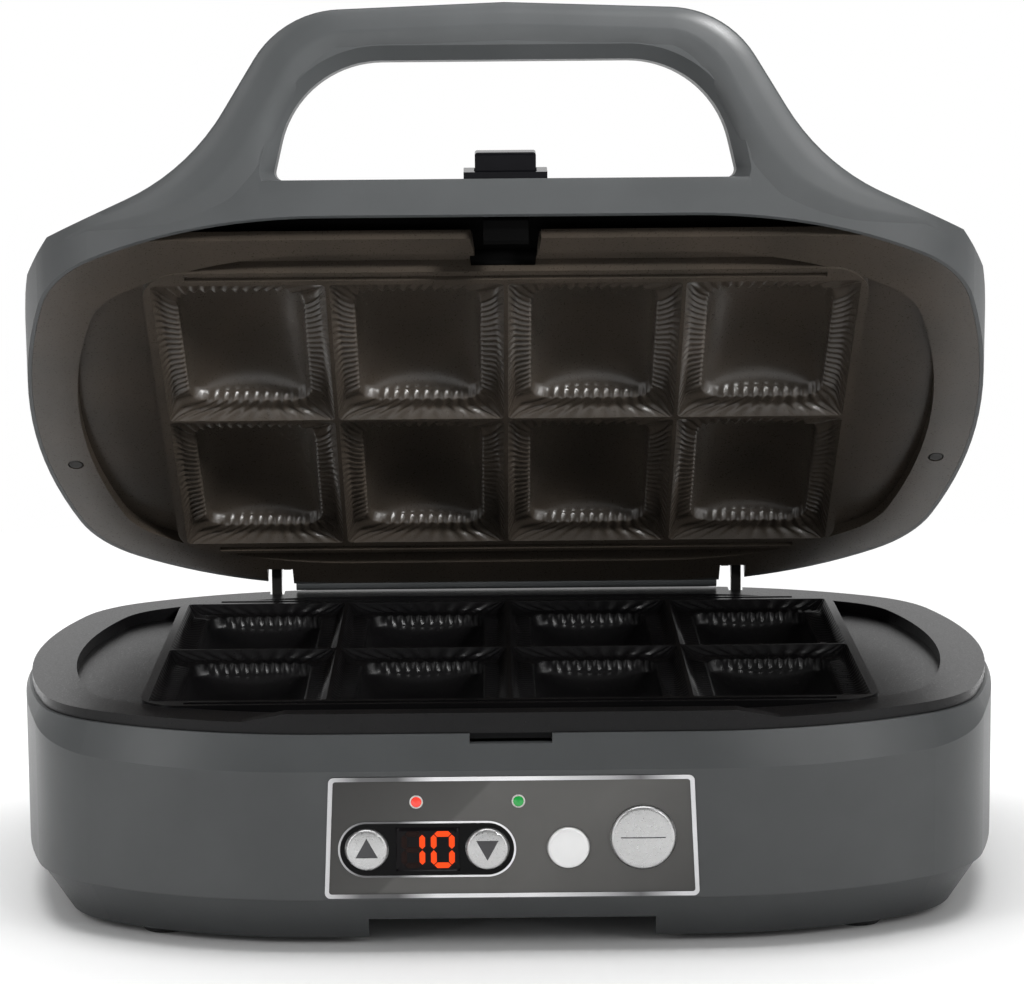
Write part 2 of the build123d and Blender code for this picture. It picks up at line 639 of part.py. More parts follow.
with BuildPart() as upper_plate:
    add(cell_casting(upper_rim.face()).mirror(Plane.XY).moved(Location((0, 0, LID_Z))))
    slab(latch_notch.face(), LID_Z - 1, UPPER_SLAB_Z + 1, Mode.SUBTRACT)
    for side in (-1, 1):
        ends = sorted((side * EAR_SLOT[0], side * EAR_SLOT[1]))
        box_between(
            (ends[0], HINGE_Y - EAR_R - 3, LID_Z - 1), (ends[1], BODY_REAR, LID_Z + RIM_T + 1), Mode.SUBTRACT
        )
    with Locations(*[(x, y, LID_Z) for x, y in LID_SCREW_PLACES]):
        Cylinder(SCREW_R + SCREW_FIT, 4 * RIM_T, mode=Mode.SUBTRACT)
        Cylinder(SCREW_HEAD_R + SCREW_FIT, 2 * SCREW_HEAD_H, mode=Mode.SUBTRACT)
keep(upper_plate, "upper_plate", lid=True)
keep(screws(LID_SCREW_PLACES, LID_Z + SCREW_HEAD_H, LID_SCREW_L), "upper_plate_screws", lid=True)


# ------------------------------------------------------------------ heating
def heater():
    """Tubular element that winds between the columns of bowls, with its axis at z = 0."""
    column = CELL_W * COLUMNS / 4
    with BuildPart() as tube:
        with BuildLine() as path:
            FilletPolyline(
                (-TUBE_X, TUBE_END_Y),
                (-TUBE_X, -TUBE_Y),
                (-column, -TUBE_Y),
                (-column, TUBE_Y),
                (column, TUBE_Y),
                (column, -TUBE_Y),
                (TUBE_X, -TUBE_Y),
                (TUBE_X, TUBE_END_Y),
                radius=TUBE_BEND,
            )
        with BuildSketch(Plane(origin=path.line @ 0, z_dir=path.line % 0)):
            Circle(TUBE_R)
        sweep(path=path.line)
        with Locations(*[Plane(origin=(x, TUBE_END_Y, 0), z_dir=(0, 1, 0)) for x in (-TUBE_X, TUBE_X)]):
            Cylinder(TUBE_R / 3, TERMINAL_L, align=(Align.CENTER, Align.CENTER, Align.MIN))
    return tube.part


def reflector():
    """Pressed sheet-metal tray that hangs below the slab, open towards it."""
    drop = -TRAY_DROP
    with BuildPart() as tray:
        taper(inset(PLATE_PLAN, TRAY_INSET + TRAY_TAPER), drop, inset(PLATE_PLAN, TRAY_INSET), 0)
        taper(
            inset(PLATE_PLAN, TRAY_INSET + TRAY_TAPER + TRAY_T),
            drop + TRAY_T,
            inset(PLATE_PLAN, TRAY_INSET + TRAY_T),
            0,
            Mode.SUBTRACT,
        )
        for side in (-1, 1):
            box_between(
                (side * TUBE_X - TUBE_R - TUBE_FIT, TUBE_END_Y - TUBE_R, -2 * (TUBE_R + TUBE_FIT)),
                (side * TUBE_X + TUBE_R + TUBE_FIT, BODY_REAR, 0),
                Mode.SUBTRACT,
            )
    return tray.part


def sensor():
    """Thermostat sensor that is held against the middle of the slab."""
    with BuildPart() as button:
        Cylinder(SENSOR_R, SENSOR_H, align=(Align.CENTER, Align.CENTER, Align.MAX))
        fillet(button.faces().sort_by(Axis.Z)[0].edges(), radius=1)
    return button.part


for prefix, under in (("lower", True), ("upper", False)):
    for name, maker, shift in (("heater", heater, TUBE_R), ("reflector", reflector, 0), ("sensor", sensor, 0)):
        with BuildPart() as piece:
            if under:
                add(maker().moved(Location((0, 0, LOWER_SLAB_Z - shift))))
            else:
                add(maker().mirror(Plane.XY).moved(Location((0, 0, UPPER_SLAB_Z + shift))))
                box_between(
                    (-GUARD_TONGUE_W / 2 - 1, -BODY_FRONT, UPPER_SLAB_Z),
                    (GUARD_TONGUE_W / 2 + 1, -LATCH_NOTCH_BACK + 2, UPPER_SLAB_Z + GUARD_T + 1),
                    Mode.SUBTRACT,
                )
                for side in (-1, 1):
                    near, far = sorted((side * (EAR_FOOT_X - 1), side * HINGE_X))
                    box_between(
                        (near, EAR_FOOT_Y - 1, UPPER_SLAB_Z), (far, BODY_REAR, UPPER_SLAB_Z + 12), Mode.SUBTRACT
                    )
        keep(piece, f"{prefix}_{name}", lid=not under)


# ------------------------------------------------------------------ control panel
with BuildPart() as panel_trim:
    front_slab(panel_outline(0.1), -TRIM_PROUD, FACE_T)
    front_slab(panel_outline(TRIM_W, PANEL_R / 2), -TRIM_PROUD, FACE_T, Mode.SUBTRACT)
keep(panel_trim, "panel_trim")

with BuildPart() as panel_face:
    front_slab(panel_outline(TRIM_W, PANEL_R / 2), 0, FACE_T)
    front_slab(capsule(0), 0, FACE_T, Mode.SUBTRACT)
    for name in ("extra_button", "start_button"):
        x, z, radius = BUTTONS[name]
        front_slab(disc(x, z, radius + BUTTON_GAP), 0, FACE_T, Mode.SUBTRACT)
    for x in LAMPS.values():
        front_slab(disc(x, LAMP_Z, LAMP_R), 0, FACE_T, Mode.SUBTRACT)
keep(panel_face, "panel_face")

with BuildPart() as display_trim:
    front_slab(capsule(0), -CAPSULE_PROUD, FACE_T)
    front_slab(capsule(CAPSULE_EDGE), -CAPSULE_PROUD, FACE_T, Mode.SUBTRACT)
keep(display_trim, "display_trim")

with BuildPart() as display_window:
    front_slab(capsule(CAPSULE_EDGE), 0, FACE_T)
    for name in ("up_button", "down_button"):
        x, z, radius = BUTTONS[name]
        front_slab(disc(x, z, radius + BUTTON_GAP), 0, FACE_T, Mode.SUBTRACT)
keep(display_window, "display_window")

with BuildPart() as display_module:
    box_between(
        (CAPSULE_X - DISPLAY_W / 2, PANEL_Y + FACE_T, CAPSULE_Z - DISPLAY_H / 2),
        (CAPSULE_X + DISPLAY_W / 2, BOARD_Y, CAPSULE_Z + DISPLAY_H / 2),
    )
keep(display_module, "display_module")

collar_y = FACE_T + CLEAR
for name, (x, z, radius) in BUTTONS.items():
    with BuildPart() as button:
        with BuildSketch(Plane(origin=(x, PANEL_Y, z), x_dir=(1, 0, 0), z_dir=(0, 0, 1))):
            with BuildLine():
                Polyline(
                    (0, BUTTON_STEM_END),
                    (BUTTON_STEM_R, BUTTON_STEM_END),
                    (BUTTON_STEM_R, collar_y + BUTTON_COLLAR_T),
                    (radius + BUTTON_COLLAR, collar_y + BUTTON_COLLAR_T),
                    (radius + BUTTON_COLLAR, collar_y),
                    (radius, collar_y),
                    (radius, 0),
                )
                edge = JernArc((radius, 0), (0, -1), BUTTON_EDGE, -90)
                TangentArc((0, -BUTTON_PROUD), edge @ 1, tangent=(1, 0))
                Line((0, -BUTTON_PROUD), (0, BUTTON_STEM_END))
            make_face()
        revolve(axis=Axis((x, PANEL_Y, z), (0, 1, 0)))
    keep(button, name)

for name, x in LAMPS.items():
    with BuildPart() as lamp:
        with BuildSketch(Plane(origin=(x, PANEL_Y, LAMP_Z), x_dir=(1, 0, 0), z_dir=(0, 0, 1))):
            with BuildLine():
                Polyline(
                    (0, -LAMP_PROUD),
                    (0, BOARD_Y - PANEL_Y),
                    (LAMP_R, BOARD_Y - PANEL_Y),
                    (LAMP_R, FACE_T + LAMP_RING_T),
                    (LAMP_RING_R, FACE_T + LAMP_RING_T),
                    (LAMP_RING_R, FACE_T),
                    (LAMP_R, FACE_T),
                    (LAMP_R, 0),
                )
                TangentArc((0, -LAMP_PROUD), (LAMP_R, 0), tangent=(1, 0))
            make_face()
        revolve(axis=Axis((x, PANEL_Y, LAMP_Z), (0, 1, 0)))
    keep(lamp, name)

with BuildPart() as button_switches:
    for x, z, _ in BUTTONS.values():
        box_between(
            (x - SWITCH_W / 2, SWITCH_Y, z - SWITCH_W / 2), (x + SWITCH_W / 2, BOARD_Y, z + SWITCH_W / 2)
        )
keep(button_switches, "button_switches")

def block(size, x, y, z):
    """A plain part standing on a board, by the middle of its foot."""
    with Locations((x, y, z)):
        Box(*size, align=(Align.CENTER, Align.CENTER, Align.MIN))


with BuildPart() as control_board:
    box_between(
        (-PANEL_TOP_W / 2, BOARD_Y, PANEL_LOW_Z + BOARD_MARGIN),
        (PANEL_TOP_W / 2, BOARD_Y + BOARD_T, PANEL_TOP_Z - BOARD_MARGIN),
    )
    with Locations(*[
        Plane(origin=(side * (PANEL_TOP_W / 2 - PANEL_POST_X), BOARD_Y, z), z_dir=(0, -1, 0))
        for side in (-1, 1)
        for z in (PANEL_LOW_Z + PANEL_POST_Z, PANEL_TOP_Z - BOARD_MARGIN - PANEL_POST_Z)
    ]):
        Cylinder(PANEL_POST_R, BOARD_Y - PANEL_Y - FACE_T - PAD_T, align=(Align.CENTER, Align.CENTER, Align.MIN))
    for size, (x, z) in ((CHIP, CHIP_PLACE), (PLUG, PLUG_PLACE)):
        block(size, x, BOARD_Y + BOARD_T + size[1] / 2, z - size[2] / 2)
keep(control_board, "control_board")


# ------------------------------------------------------------------ electronics in the base
with BuildPart() as power_board:
    board_low = FLOOR_TOP_Z + STANDOFF_H
    board_top = board_low + BOARD_T
    block((POWER_BOARD_W, POWER_BOARD_L, BOARD_T), 0, POWER_BOARD_Y, board_low)
    with Locations((0, POWER_BOARD_Y, FLOOR_TOP_Z)):
        with GridLocations(POWER_BOARD_W - 2 * STANDOFF_INSET, POWER_BOARD_L - 2 * STANDOFF_INSET, 2, 2):
            Cylinder(STANDOFF_R, STANDOFF_H, align=(Align.CENTER, Align.CENTER, Align.MIN))
    for size, (x, y) in ((RELAY, RELAY_PLACE), (TRANSFORMER, TRANSFORMER_PLACE)):
        block(size, x, POWER_BOARD_Y + y, board_top)
    with Locations((CAPACITOR_X, POWER_BOARD_Y + CAPACITOR_Y, board_top)):
        with GridLocations(0, CAPACITOR_PITCH, 1, 2):
            Cylinder(CAPACITOR_R, CAPACITOR_H, align=(Align.CENTER, Align.CENTER, Align.MIN))
keep(power_board, "power_board")

with BuildPart() as terminal_block:
    block((TERMINAL_W, TERMINAL_D, TERMINAL_H), INLET_X, TERMINAL_Y, FLOOR_TOP_Z)
    with Locations((INLET_X, TERMINAL_Y, FLOOR_TOP_Z + TERMINAL_H)):
        with GridLocations(TERMINAL_HOLE_PITCH, 0, 3, 1):
            Cylinder(TERMINAL_HOLE_R, 2 * TERMINAL_HOLE_R, mode=Mode.SUBTRACT)
keep(terminal_block, "terminal_block")

with BuildPart() as cord_gland:
    with BuildSketch(Plane(origin=(INLET_X, BODY_REAR, INLET_Z), x_dir=(1, 0, 0), z_dir=(0, 0, 1))):
        with BuildLine():
            Polyline(
                (GLAND_BORE_R, GLAND_PROUD),
                (GLAND_NECK_R, GLAND_PROUD),
                (GLAND_FLANGE_R, 0),
                (INLET_R, 0),
                (INLET_R, -WALL),
                (GLAND_NUT_R, -WALL),
                (GLAND_NUT_R, -WALL - GLAND_NUT_T),
                (GLAND_BORE_R, -WALL - GLAND_NUT_T),
                close=True,
            )
        make_face()
    revolve(axis=Axis((INLET_X, BODY_REAR, INLET_Z), (0, 1, 0)))
keep(cord_gland, "cord_gland")


# ------------------------------------------------------------------ hinge
with BuildPart() as hinge_brackets:
    for side in (-1, 1):
        x = side * HINGE_X - EAR_T / 2
        with BuildSketch(Plane(origin=(x, 0, 0), x_dir=(0, 1, 0), z_dir=(1, 0, 0))):
            with Locations((HINGE_Y, HINGE_Z)):
                Circle(EAR_R)
            with BuildLine():
                Polyline(
                    (HINGE_Y - EAR_R, HINGE_Z),
                    (HINGE_Y - EAR_R, BODY_TOP_Z - WALL - EAR_TAIL),
                    (HINGE_Y - EAR_R + EAR_STEM_W, BODY_TOP_Z - WALL - EAR_TAIL),
                    (HINGE_Y - EAR_R + EAR_STEM_W, RIM_Z + EAR_T),
                    (HINGE_Y + EAR_R, HINGE_Z),
                    close=True,
                )
            make_face()
            with Locations((HINGE_Y, HINGE_Z)):
                Circle(PIN_R, mode=Mode.SUBTRACT)
        extrude(amount=EAR_T)
        flange = sorted((side * (HINGE_X - EAR_FLANGE_W), side * HINGE_X))
        box_between(
            (flange[0], HINGE_Y - EAR_R, BODY_TOP_Z - WALL - EAR_FLANGE_T),
            (flange[1], HINGE_Y - EAR_R + EAR_STEM_W, BODY_TOP_Z - WALL),
        )
keep(hinge_brackets, "hinge_brackets")

with BuildPart() as hinge_pins:
    for side in (-1, 1):
        inner, outer = HINGE_X - EAR_NEAR - LID_EAR_T - PIN_HEAD, HINGE_X + EAR_T / 2 + PIN_HEAD
        with Locations(Plane(origin=(side * inner, HINGE_Y, HINGE_Z), z_dir=(side, 0, 0))):
            Cylinder(PIN_R, outer - inner, align=(Align.CENTER, Align.CENTER, Align.MIN))
keep(hinge_pins, "hinge_pins")

with BuildPart() as lid_hinge_brackets:
    for side in (-1, 1):
        x = side * (HINGE_X - EAR_NEAR) - (LID_EAR_T if side > 0 else 0)
        with BuildSketch(Plane(origin=(x, 0, 0), x_dir=(0, 1, 0), z_dir=(1, 0, 0))):
            with Locations((HINGE_Y, HINGE_Z)):
                Circle(EAR_R)
            with BuildLine():
                Polyline(
                    (HINGE_Y, HINGE_Z + EAR_R),
                    (EAR_FOOT_Y, UPPER_SLAB_Z + EAR_BACK_H),
                    (EAR_FOOT_Y, UPPER_SLAB_Z),
                    (HINGE_Y - EAR_HEEL, UPPER_SLAB_Z),
                    (HINGE_Y, HINGE_Z - EAR_R),
                    close=True,
                )
            make_face()
            with Locations((HINGE_Y, HINGE_Z)):
                Circle(PIN_R + PIN_FIT, mode=Mode.SUBTRACT)
        extrude(amount=LID_EAR_T)
        foot = sorted((side * (HINGE_X - EAR_NEAR), side * EAR_FOOT_X))
        box_between(
            (foot[0], EAR_FOOT_Y, UPPER_SLAB_Z), (foot[1], EAR_FOOT_Y + EAR_FOOT_L, UPPER_SLAB_Z + LID_EAR_T)
        )
keep(lid_hinge_brackets, "lid_hinge_brackets", lid=True)


# ------------------------------------------------------------------ lid
def scoop(drop):
    """The space over the sloping finger scoop behind the front band."""
    with BuildPart() as wedge:
        with BuildSketch(Plane.YZ.offset(-SCOOP_W / 2)):
            with BuildLine():
                Polyline(
                    (BAND_EDGE_Y, BAND_EDGE_Z - drop),
                    (BAND_EDGE_Y + SCOOP_REACH * cos(SCOOP), BAND_EDGE_Z - drop + SCOOP_REACH * sin(SCOOP)),
                    (BAND_EDGE_Y, BAND_EDGE_Z + SCOOP_REACH * sin(SCOOP)),
                    close=True,
                )
            make_face()
        extrude(amount=SCOOP_W)
    return wedge.part


def lid_form(wall):
    """Upright wall and sloping top of the lid: the outer form, or its inside."""
    with BuildPart() as form:
        slab(inset(LID_PLAN, wall), LID_Z - wall, LID_WALL_Z - wall)
        taper(
            inset(LID_PLAN, wall),
            LID_WALL_Z - wall,
            inset(LID_PLAN, wall + DOME_INSET - wall / 2),
            LID_TOP_Z - wall,
        )
        add(scoop(wall / cos(SCOOP)), mode=Mode.SUBTRACT)
    return form.part


def arch_face():
    """Front view of the handle, square to the way it leans."""
    with BuildSketch(HANDLE_PLANE) as sketch:
        with BuildLine():
            side = FilletPolyline(
                (0, ARCH_TOP), ARCH_SHOULDER, ARCH_WAIST, ARCH_FOOT, radius=[ARCH_SHOULDER_R, ARCH_WAIST_R]
            )
            Polyline(side @ 1, ARCH_HEEL, ARCH_END, (ARCH_END[0], -2 * BODY_FRONT), (0, -2 * BODY_FRONT))
            mirror(about=Plane.YZ)
        make_face()
        with BuildLine():
            FilletPolyline(
                (0, BAND_TOP),
                (BAND_END, BAND_TOP),
                (GRIP_CORNER_X, GRIP_TOP),
                (0, GRIP_TOP),
                radius=[BAND_CORNER_R, GRIP_CORNER_R],
            )
            mirror(about=Plane.YZ)
        make_face(mode=Mode.SUBTRACT)
    return sketch.sketch


def leaning_wall(near, far, top):
    """The front of the lid outline carried up along the lean, between two depths."""
    with BuildSketch(Plane.XY.offset(LID_Z)) as ring:
        add(inset(LID_PLAN, near))
        add(inset(LID_PLAN, far), mode=Mode.SUBTRACT)
        with Locations((0, BODY_FRONT)):
            Rectangle(2 * BODY_W, 2 * BODY_FRONT, mode=Mode.SUBTRACT)
    with BuildPart() as wall:
        extrude(ring.sketch, amount=top, dir=HANDLE_DIR)
        extrude(arch_face(), amount=4 * BODY_FRONT, dir=HANDLE_BACK_DIR, both=True, mode=Mode.INTERSECT)
        for side in (-1, 1):
            ends = sorted((side * SHOULDER_X, side * BODY_W))
            box_between((ends[0], -2 * BODY_FRONT, LID_WALL_Z), (ends[1], BODY_FRONT, 2 * LID_TOP_Z), Mode.SUBTRACT)
    return wall.part


def grip_edges(edges):
    """Those edges of the leaning wall that run round the hand opening on its outer face."""
    outline = LID_PLAN.wire()
    low, high = (BAND_TOP - 1) * cos(LEAN), (GRIP_TOP + 1) * cos(LEAN)
    found = []
    for edge in edges:
        middle = edge @ 0.5
        rise = middle.Z - LID_Z
        foot = Vertex(middle.X, middle.Y + rise * tan(LEAN), 0)
        if abs(middle.X) < BAND_END and low < rise < high and outline.distance_to(foot) < 0.1:
            found.append(edge)
    return found


HANDLE_SCREW_X = 50.0
HANDLE_SCREW_S = (ARCH_TOP + GRIP_TOP) / 2
HANDLE_DEPTH = (HANDLE_T + HANDLE_BACK_T) * sin(LEAN)
SCREW_SINK = 3.0
handle_screw_places = [
    HANDLE_PLANE * Location((x, HANDLE_SCREW_S, -HANDLE_DEPTH)) for x in (-HANDLE_SCREW_X, 0, HANDLE_SCREW_X)
]

with BuildPart() as arch_front:
    add(leaning_wall(0, HANDLE_T, ARCH_TOP * 1.6))
    chamfer(grip_edges(arch_front.edges()), GRIP_EDGE)

with BuildPart() as lid_cover:
    add(lid_form(0))
    add(arch_front.part)
    add(lid_form(WALL), mode=Mode.SUBTRACT)
    slab(inset(LID_PLAN, LID_REBATE), LID_Z - 1, LID_Z + RIM_T, Mode.SUBTRACT)
    with Locations(*[(x, y, LID_Z + RIM_T) for x, y in LID_SCREW_PLACES]):
        Cylinder(POST_R, LID_WALL_H, align=(Align.CENTER, Align.CENTER, Align.MIN))
        Cylinder(SCREW_R, LID_SCREW_L - 2, align=(Align.CENTER, Align.CENTER, Align.MIN), mode=Mode.SUBTRACT)
    for side in (-1, 1):
        ends = sorted((side * EAR_SLOT[0], side * EAR_SLOT[1]))
        box_between((ends[0], HINGE_Y - 12, LID_Z - 1), (ends[1], BODY_REAR, HINGE_Z + EAR_R + 3), Mode.SUBTRACT)
    with Locations(*handle_screw_places):
        Cylinder(SCREW_R, 2 * (HANDLE_DEPTH - 5), mode=Mode.SUBTRACT)
    with Locations(LATCH_PLANE):
        with Locations((0, BEZEL_D / 2 + 0.6, 10 - BEZEL_SEAT)):
            Box(BEZEL_W + 0.2, BEZEL_D + 0.2, 20, mode=Mode.SUBTRACT)
        with Locations((0, LATCH_BACK + LATCH_D / 2, -3)):
            Box(LATCH_W + 2 * LATCH_FIT, LATCH_D + 2 * LATCH_FIT, 10, mode=Mode.SUBTRACT)
        with Locations((0, LATCH_BACK + LATCH_D - 2, -8)):
            Box(6.8, 4.6, 12, mode=Mode.SUBTRACT)
keep(lid_cover, "lid_cover", lid=True)

with BuildPart() as handle_back:
    add(leaning_wall(HANDLE_T, HANDLE_T + HANDLE_BACK_T, ARCH_TOP * 1.6))
    add(lid_form(0), mode=Mode.SUBTRACT)
    box_between(
        (-HANDLE_BACK_X, -2 * BODY_FRONT, BAND_EDGE_Z + 8), (HANDLE_BACK_X, 0, 2 * LID_TOP_Z), Mode.INTERSECT
    )
    with Locations(*handle_screw_places):
        Cylinder(SCREW_R + SCREW_FIT, 2 * HANDLE_DEPTH, mode=Mode.SUBTRACT)
        Cylinder(SCREW_HEAD_R + SCREW_FIT, 2 * SCREW_SINK, mode=Mode.SUBTRACT)
keep(handle_back, "handle_back", lid=True)

with BuildPart() as handle_screws:
    with Locations(*[place * Location((0, 0, SCREW_SINK)) for place in handle_screw_places]):
        Cylinder(SCREW_HEAD_R, SCREW_HEAD_H, align=(Align.CENTER, Align.CENTER, Align.MAX))
        Cylinder(SCREW_R, HANDLE_DEPTH - SCREW_SINK - 6, align=(Align.CENTER, Align.CENTER, Align.MIN))
keep(handle_screws, "handle_screws", lid=True)


# ------------------------------------------------------------------ latch
with BuildSketch() as guard_plan:
    add(inset(LID_PLAN, WALL + 0.2))
    with Locations((0, -GUARD_BACK + 2 * BODY_FRONT)):
        Rectangle(2 * BODY_W, 4 * BODY_FRONT, mode=Mode.SUBTRACT)
    with Locations((0, -BODY_FRONT)):
        Rectangle(GUARD_W, 4 * BODY_FRONT, mode=Mode.INTERSECT)
    with Locations((0, -(GUARD_BACK + LATCH_NOTCH_BACK) / 2)):
        Rectangle(GUARD_TONGUE_W, GUARD_BACK - LATCH_NOTCH_BACK + 2)

with BuildPart() as front_guard:
    slab(guard_plan.face(), UPPER_SLAB_Z, UPPER_SLAB_Z + GUARD_T)
    box_between(
        (-HOOK_W / 2 - 0.5, -BODY_FRONT, UPPER_SLAB_Z - 1),
        (HOOK_W / 2 + 0.5, -HOOK_Y + HOOK_T + 2, UPPER_SLAB_Z + GUARD_T + 1),
        Mode.SUBTRACT,
    )
    for side in (-1, 1):
        near, far = HOOK_W / 2 + 0.5, HOOK_W / 2 + 2.5
        ends = sorted((side * near, side * far))
        box_between(
            (ends[0], -BODY_FRONT + WALL + 0.4, HOOK_PIVOT_Z - 2.4), (ends[1], -HOOK_Y + 4, UPPER_SLAB_Z + 1)
        )
    with Locations(Plane(origin=(0, -HOOK_PIVOT_Y, HOOK_PIVOT_Z), z_dir=(1, 0, 0))):
        Cylinder(LATCH_PIN_R, HOOK_W + 8, mode=Mode.SUBTRACT)
keep(front_guard, "front_guard", lid=True)

with BuildPart() as latch_bezel:
    with Locations(LATCH_PLANE):
        with Locations((0, BEZEL_D / 2 + 0.6, (BEZEL_H - BEZEL_SEAT) / 2)):
            Box(BEZEL_W, BEZEL_D, BEZEL_H + BEZEL_SEAT)
        with Locations((0, LATCH_BACK + LATCH_D / 2, 0)):
            Box(LATCH_W + 2 * LATCH_FIT, LATCH_D + 2 * LATCH_FIT, 10, mode=Mode.SUBTRACT)
keep(latch_bezel, "latch_bezel", lid=True)

SPRING_X = 7.0
with BuildPart() as latch_button:
    with Locations(LATCH_PLANE):
        with Locations((0, LATCH_BACK + LATCH_D / 2, (LATCH_RISE - LATCH_SKIRT) / 2)):
            Box(LATCH_W, LATCH_D, LATCH_RISE + LATCH_SKIRT)
        fillet(latch_button.faces().sort_by(Axis(LATCH_PLANE.origin, LATCH_PLANE.z_dir))[-1].edges(), LATCH_EDGE)
        with Locations((0, LATCH_BACK + LATCH_D - 2, -LATCH_SKIRT - 2.5)):
            Box(6, 4, 5.2)
        with Locations((-SPRING_X, LATCH_BACK + LATCH_D / 2 - 1, 0), (SPRING_X, LATCH_BACK + LATCH_D / 2 - 1, 0)):
            Cylinder(2, 7, mode=Mode.SUBTRACT)
keep(latch_button, "latch_button", lid=True)

with BuildPart() as latch_springs:
    with Locations(LATCH_PLANE):
        with Locations(*[(x, LATCH_BACK + LATCH_D / 2 - 1, -8) for x in (-SPRING_X, SPRING_X)]):
            Cylinder(1.6, 9, align=(Align.CENTER, Align.CENTER, Align.MIN))
            Cylinder(1.1, 9, align=(Align.CENTER, Align.CENTER, Align.MIN), mode=Mode.SUBTRACT)
keep(latch_springs, "latch_springs", lid=True)

with BuildPart() as latch_hook:
    with BuildSketch(Plane.YZ.offset(-HOOK_W / 2)):
        with BuildLine():
            Polyline(
                (-HOOK_Y, HOOK_TOP_Z),
                (-HOOK_Y, HOOK_LOW_Z + 1),
                (-HOOK_Y + 1, HOOK_LOW_Z),
                (-PLATE_DEPTH - HOOK_FRONT_FIT, HOOK_LOW_Z + 1.8),
                (-HOOK_Y + HOOK_T, HOOK_LOW_Z + 2.4),
                (-HOOK_Y + HOOK_T, HOOK_TOP_Z),
                close=True,
            )
        make_face()
        with Locations((-HOOK_PIVOT_Y, HOOK_PIVOT_Z)):
            Circle(LATCH_PIN_R + 1.1)
        with Locations((-HOOK_PIVOT_Y, HOOK_PIVOT_Z)):
            Circle(LATCH_PIN_R + LATCH_PIN_FIT, mode=Mode.SUBTRACT)
    extrude(amount=HOOK_W)
keep(latch_hook, "latch_hook", lid=True)

with BuildPart() as latch_pin:
    with Locations(Plane(origin=(0, -HOOK_PIVOT_Y, HOOK_PIVOT_Z), z_dir=(1, 0, 0))):
        Cylinder(LATCH_PIN_R, HOOK_W + 5)
keep(latch_pin, "latch_pin", lid=True)

with BuildPart() as latch_keeper:
    box_between(
        (-NOTCH_W / 2 + 0.2, -PLATE_DEPTH + 0.1, BODY_TOP_Z - 2), (NOTCH_W / 2 - 0.2, -NOTCH_BACK, BODY_TOP_Z)
    )
keep(latch_keeper, "latch_keeper")
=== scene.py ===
"""Looks of the electric pie maker: the finish of every surface, and the small pieces that carry them.

Places are in millimetres, in the frame that part.py packs, and MM turns them into the scene's metres.
What belongs to the lid is drawn with the lid closed and swung open by opened().
"""

import math

import bmesh
import bpy
from mathutils import Matrix, Vector
from mathutils.bvhtree import BVHTree


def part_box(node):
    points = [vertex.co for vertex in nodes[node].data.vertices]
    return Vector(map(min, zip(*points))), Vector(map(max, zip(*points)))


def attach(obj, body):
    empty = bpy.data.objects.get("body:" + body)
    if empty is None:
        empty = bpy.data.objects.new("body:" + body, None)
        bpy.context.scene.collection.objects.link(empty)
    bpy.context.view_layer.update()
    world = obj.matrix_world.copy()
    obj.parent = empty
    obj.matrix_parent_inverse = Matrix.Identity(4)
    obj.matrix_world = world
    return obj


MM = 0.001

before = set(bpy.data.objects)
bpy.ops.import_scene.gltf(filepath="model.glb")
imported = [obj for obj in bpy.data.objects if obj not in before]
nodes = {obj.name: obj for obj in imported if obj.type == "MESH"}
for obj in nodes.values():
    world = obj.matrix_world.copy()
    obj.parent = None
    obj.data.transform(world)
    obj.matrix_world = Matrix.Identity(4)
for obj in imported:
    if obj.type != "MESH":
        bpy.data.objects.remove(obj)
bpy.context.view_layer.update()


# ---------------------------------------------------------------- building finishes

def tone(red, green, blue):
    """A colour given as 0-255 screen values, as the shader's linear numbers."""
    linear = [((c / 255 + 0.055) / 1.055) ** 2.4 if c > 10 else c / 255 / 12.92 for c in (red, green, blue)]
    return (*linear, 1.0)


def link(tree, source, target):
    tree.links.new(source, target)


def object_place(tree):
    """Where a point lies in its object's own frame."""
    return tree.nodes.new("ShaderNodeTexCoord").outputs["Object"]


def noise(tree, place, size, detail=2.0):
    """Noise whose patches are about `size` metres across."""
    node = tree.nodes.new("ShaderNodeTexNoise")
    node.inputs["Scale"].default_value = 1 / size
    node.inputs["Detail"].default_value = detail
    link(tree, place, node.inputs["Vector"])
    return node.outputs["Fac"]


def span(tree, value, low, high, start=0.3, end=0.7):
    """Stretches a value that runs from start to end, as noise does from 0.3 to 0.7, to low-high."""
    node = tree.nodes.new("ShaderNodeMapRange")
    node.inputs["From Min"].default_value = start
    node.inputs["From Max"].default_value = end
    node.inputs["To Min"].default_value = low
    node.inputs["To Max"].default_value = high
    link(tree, value, node.inputs["Value"])
    return node.outputs["Result"]


def along_direction(tree, place, weights):
    """How far a place lies along a direction."""
    dot = tree.nodes.new("ShaderNodeVectorMath")
    dot.operation = "DOT_PRODUCT"
    link(tree, place, dot.inputs[0])
    dot.inputs[1].default_value = weights
    return dot.outputs["Value"]


def mixed(tree, factor, first, second):
    node = tree.nodes.new("ShaderNodeMix")
    node.data_type = "RGBA"
    link(tree, factor, node.inputs["Factor"])
    node.inputs["A"].default_value = first
    node.inputs["B"].default_value = second
    return node.outputs["Result"]


def mix_shaders(tree, factor, first, second, target):
    """Sends a mix of two shaders to an output."""
    node = tree.nodes.new("ShaderNodeMixShader")
    for source, socket in zip((factor, first, second), node.inputs):
        link(tree, source, socket)
    link(tree, node.outputs[0], target)


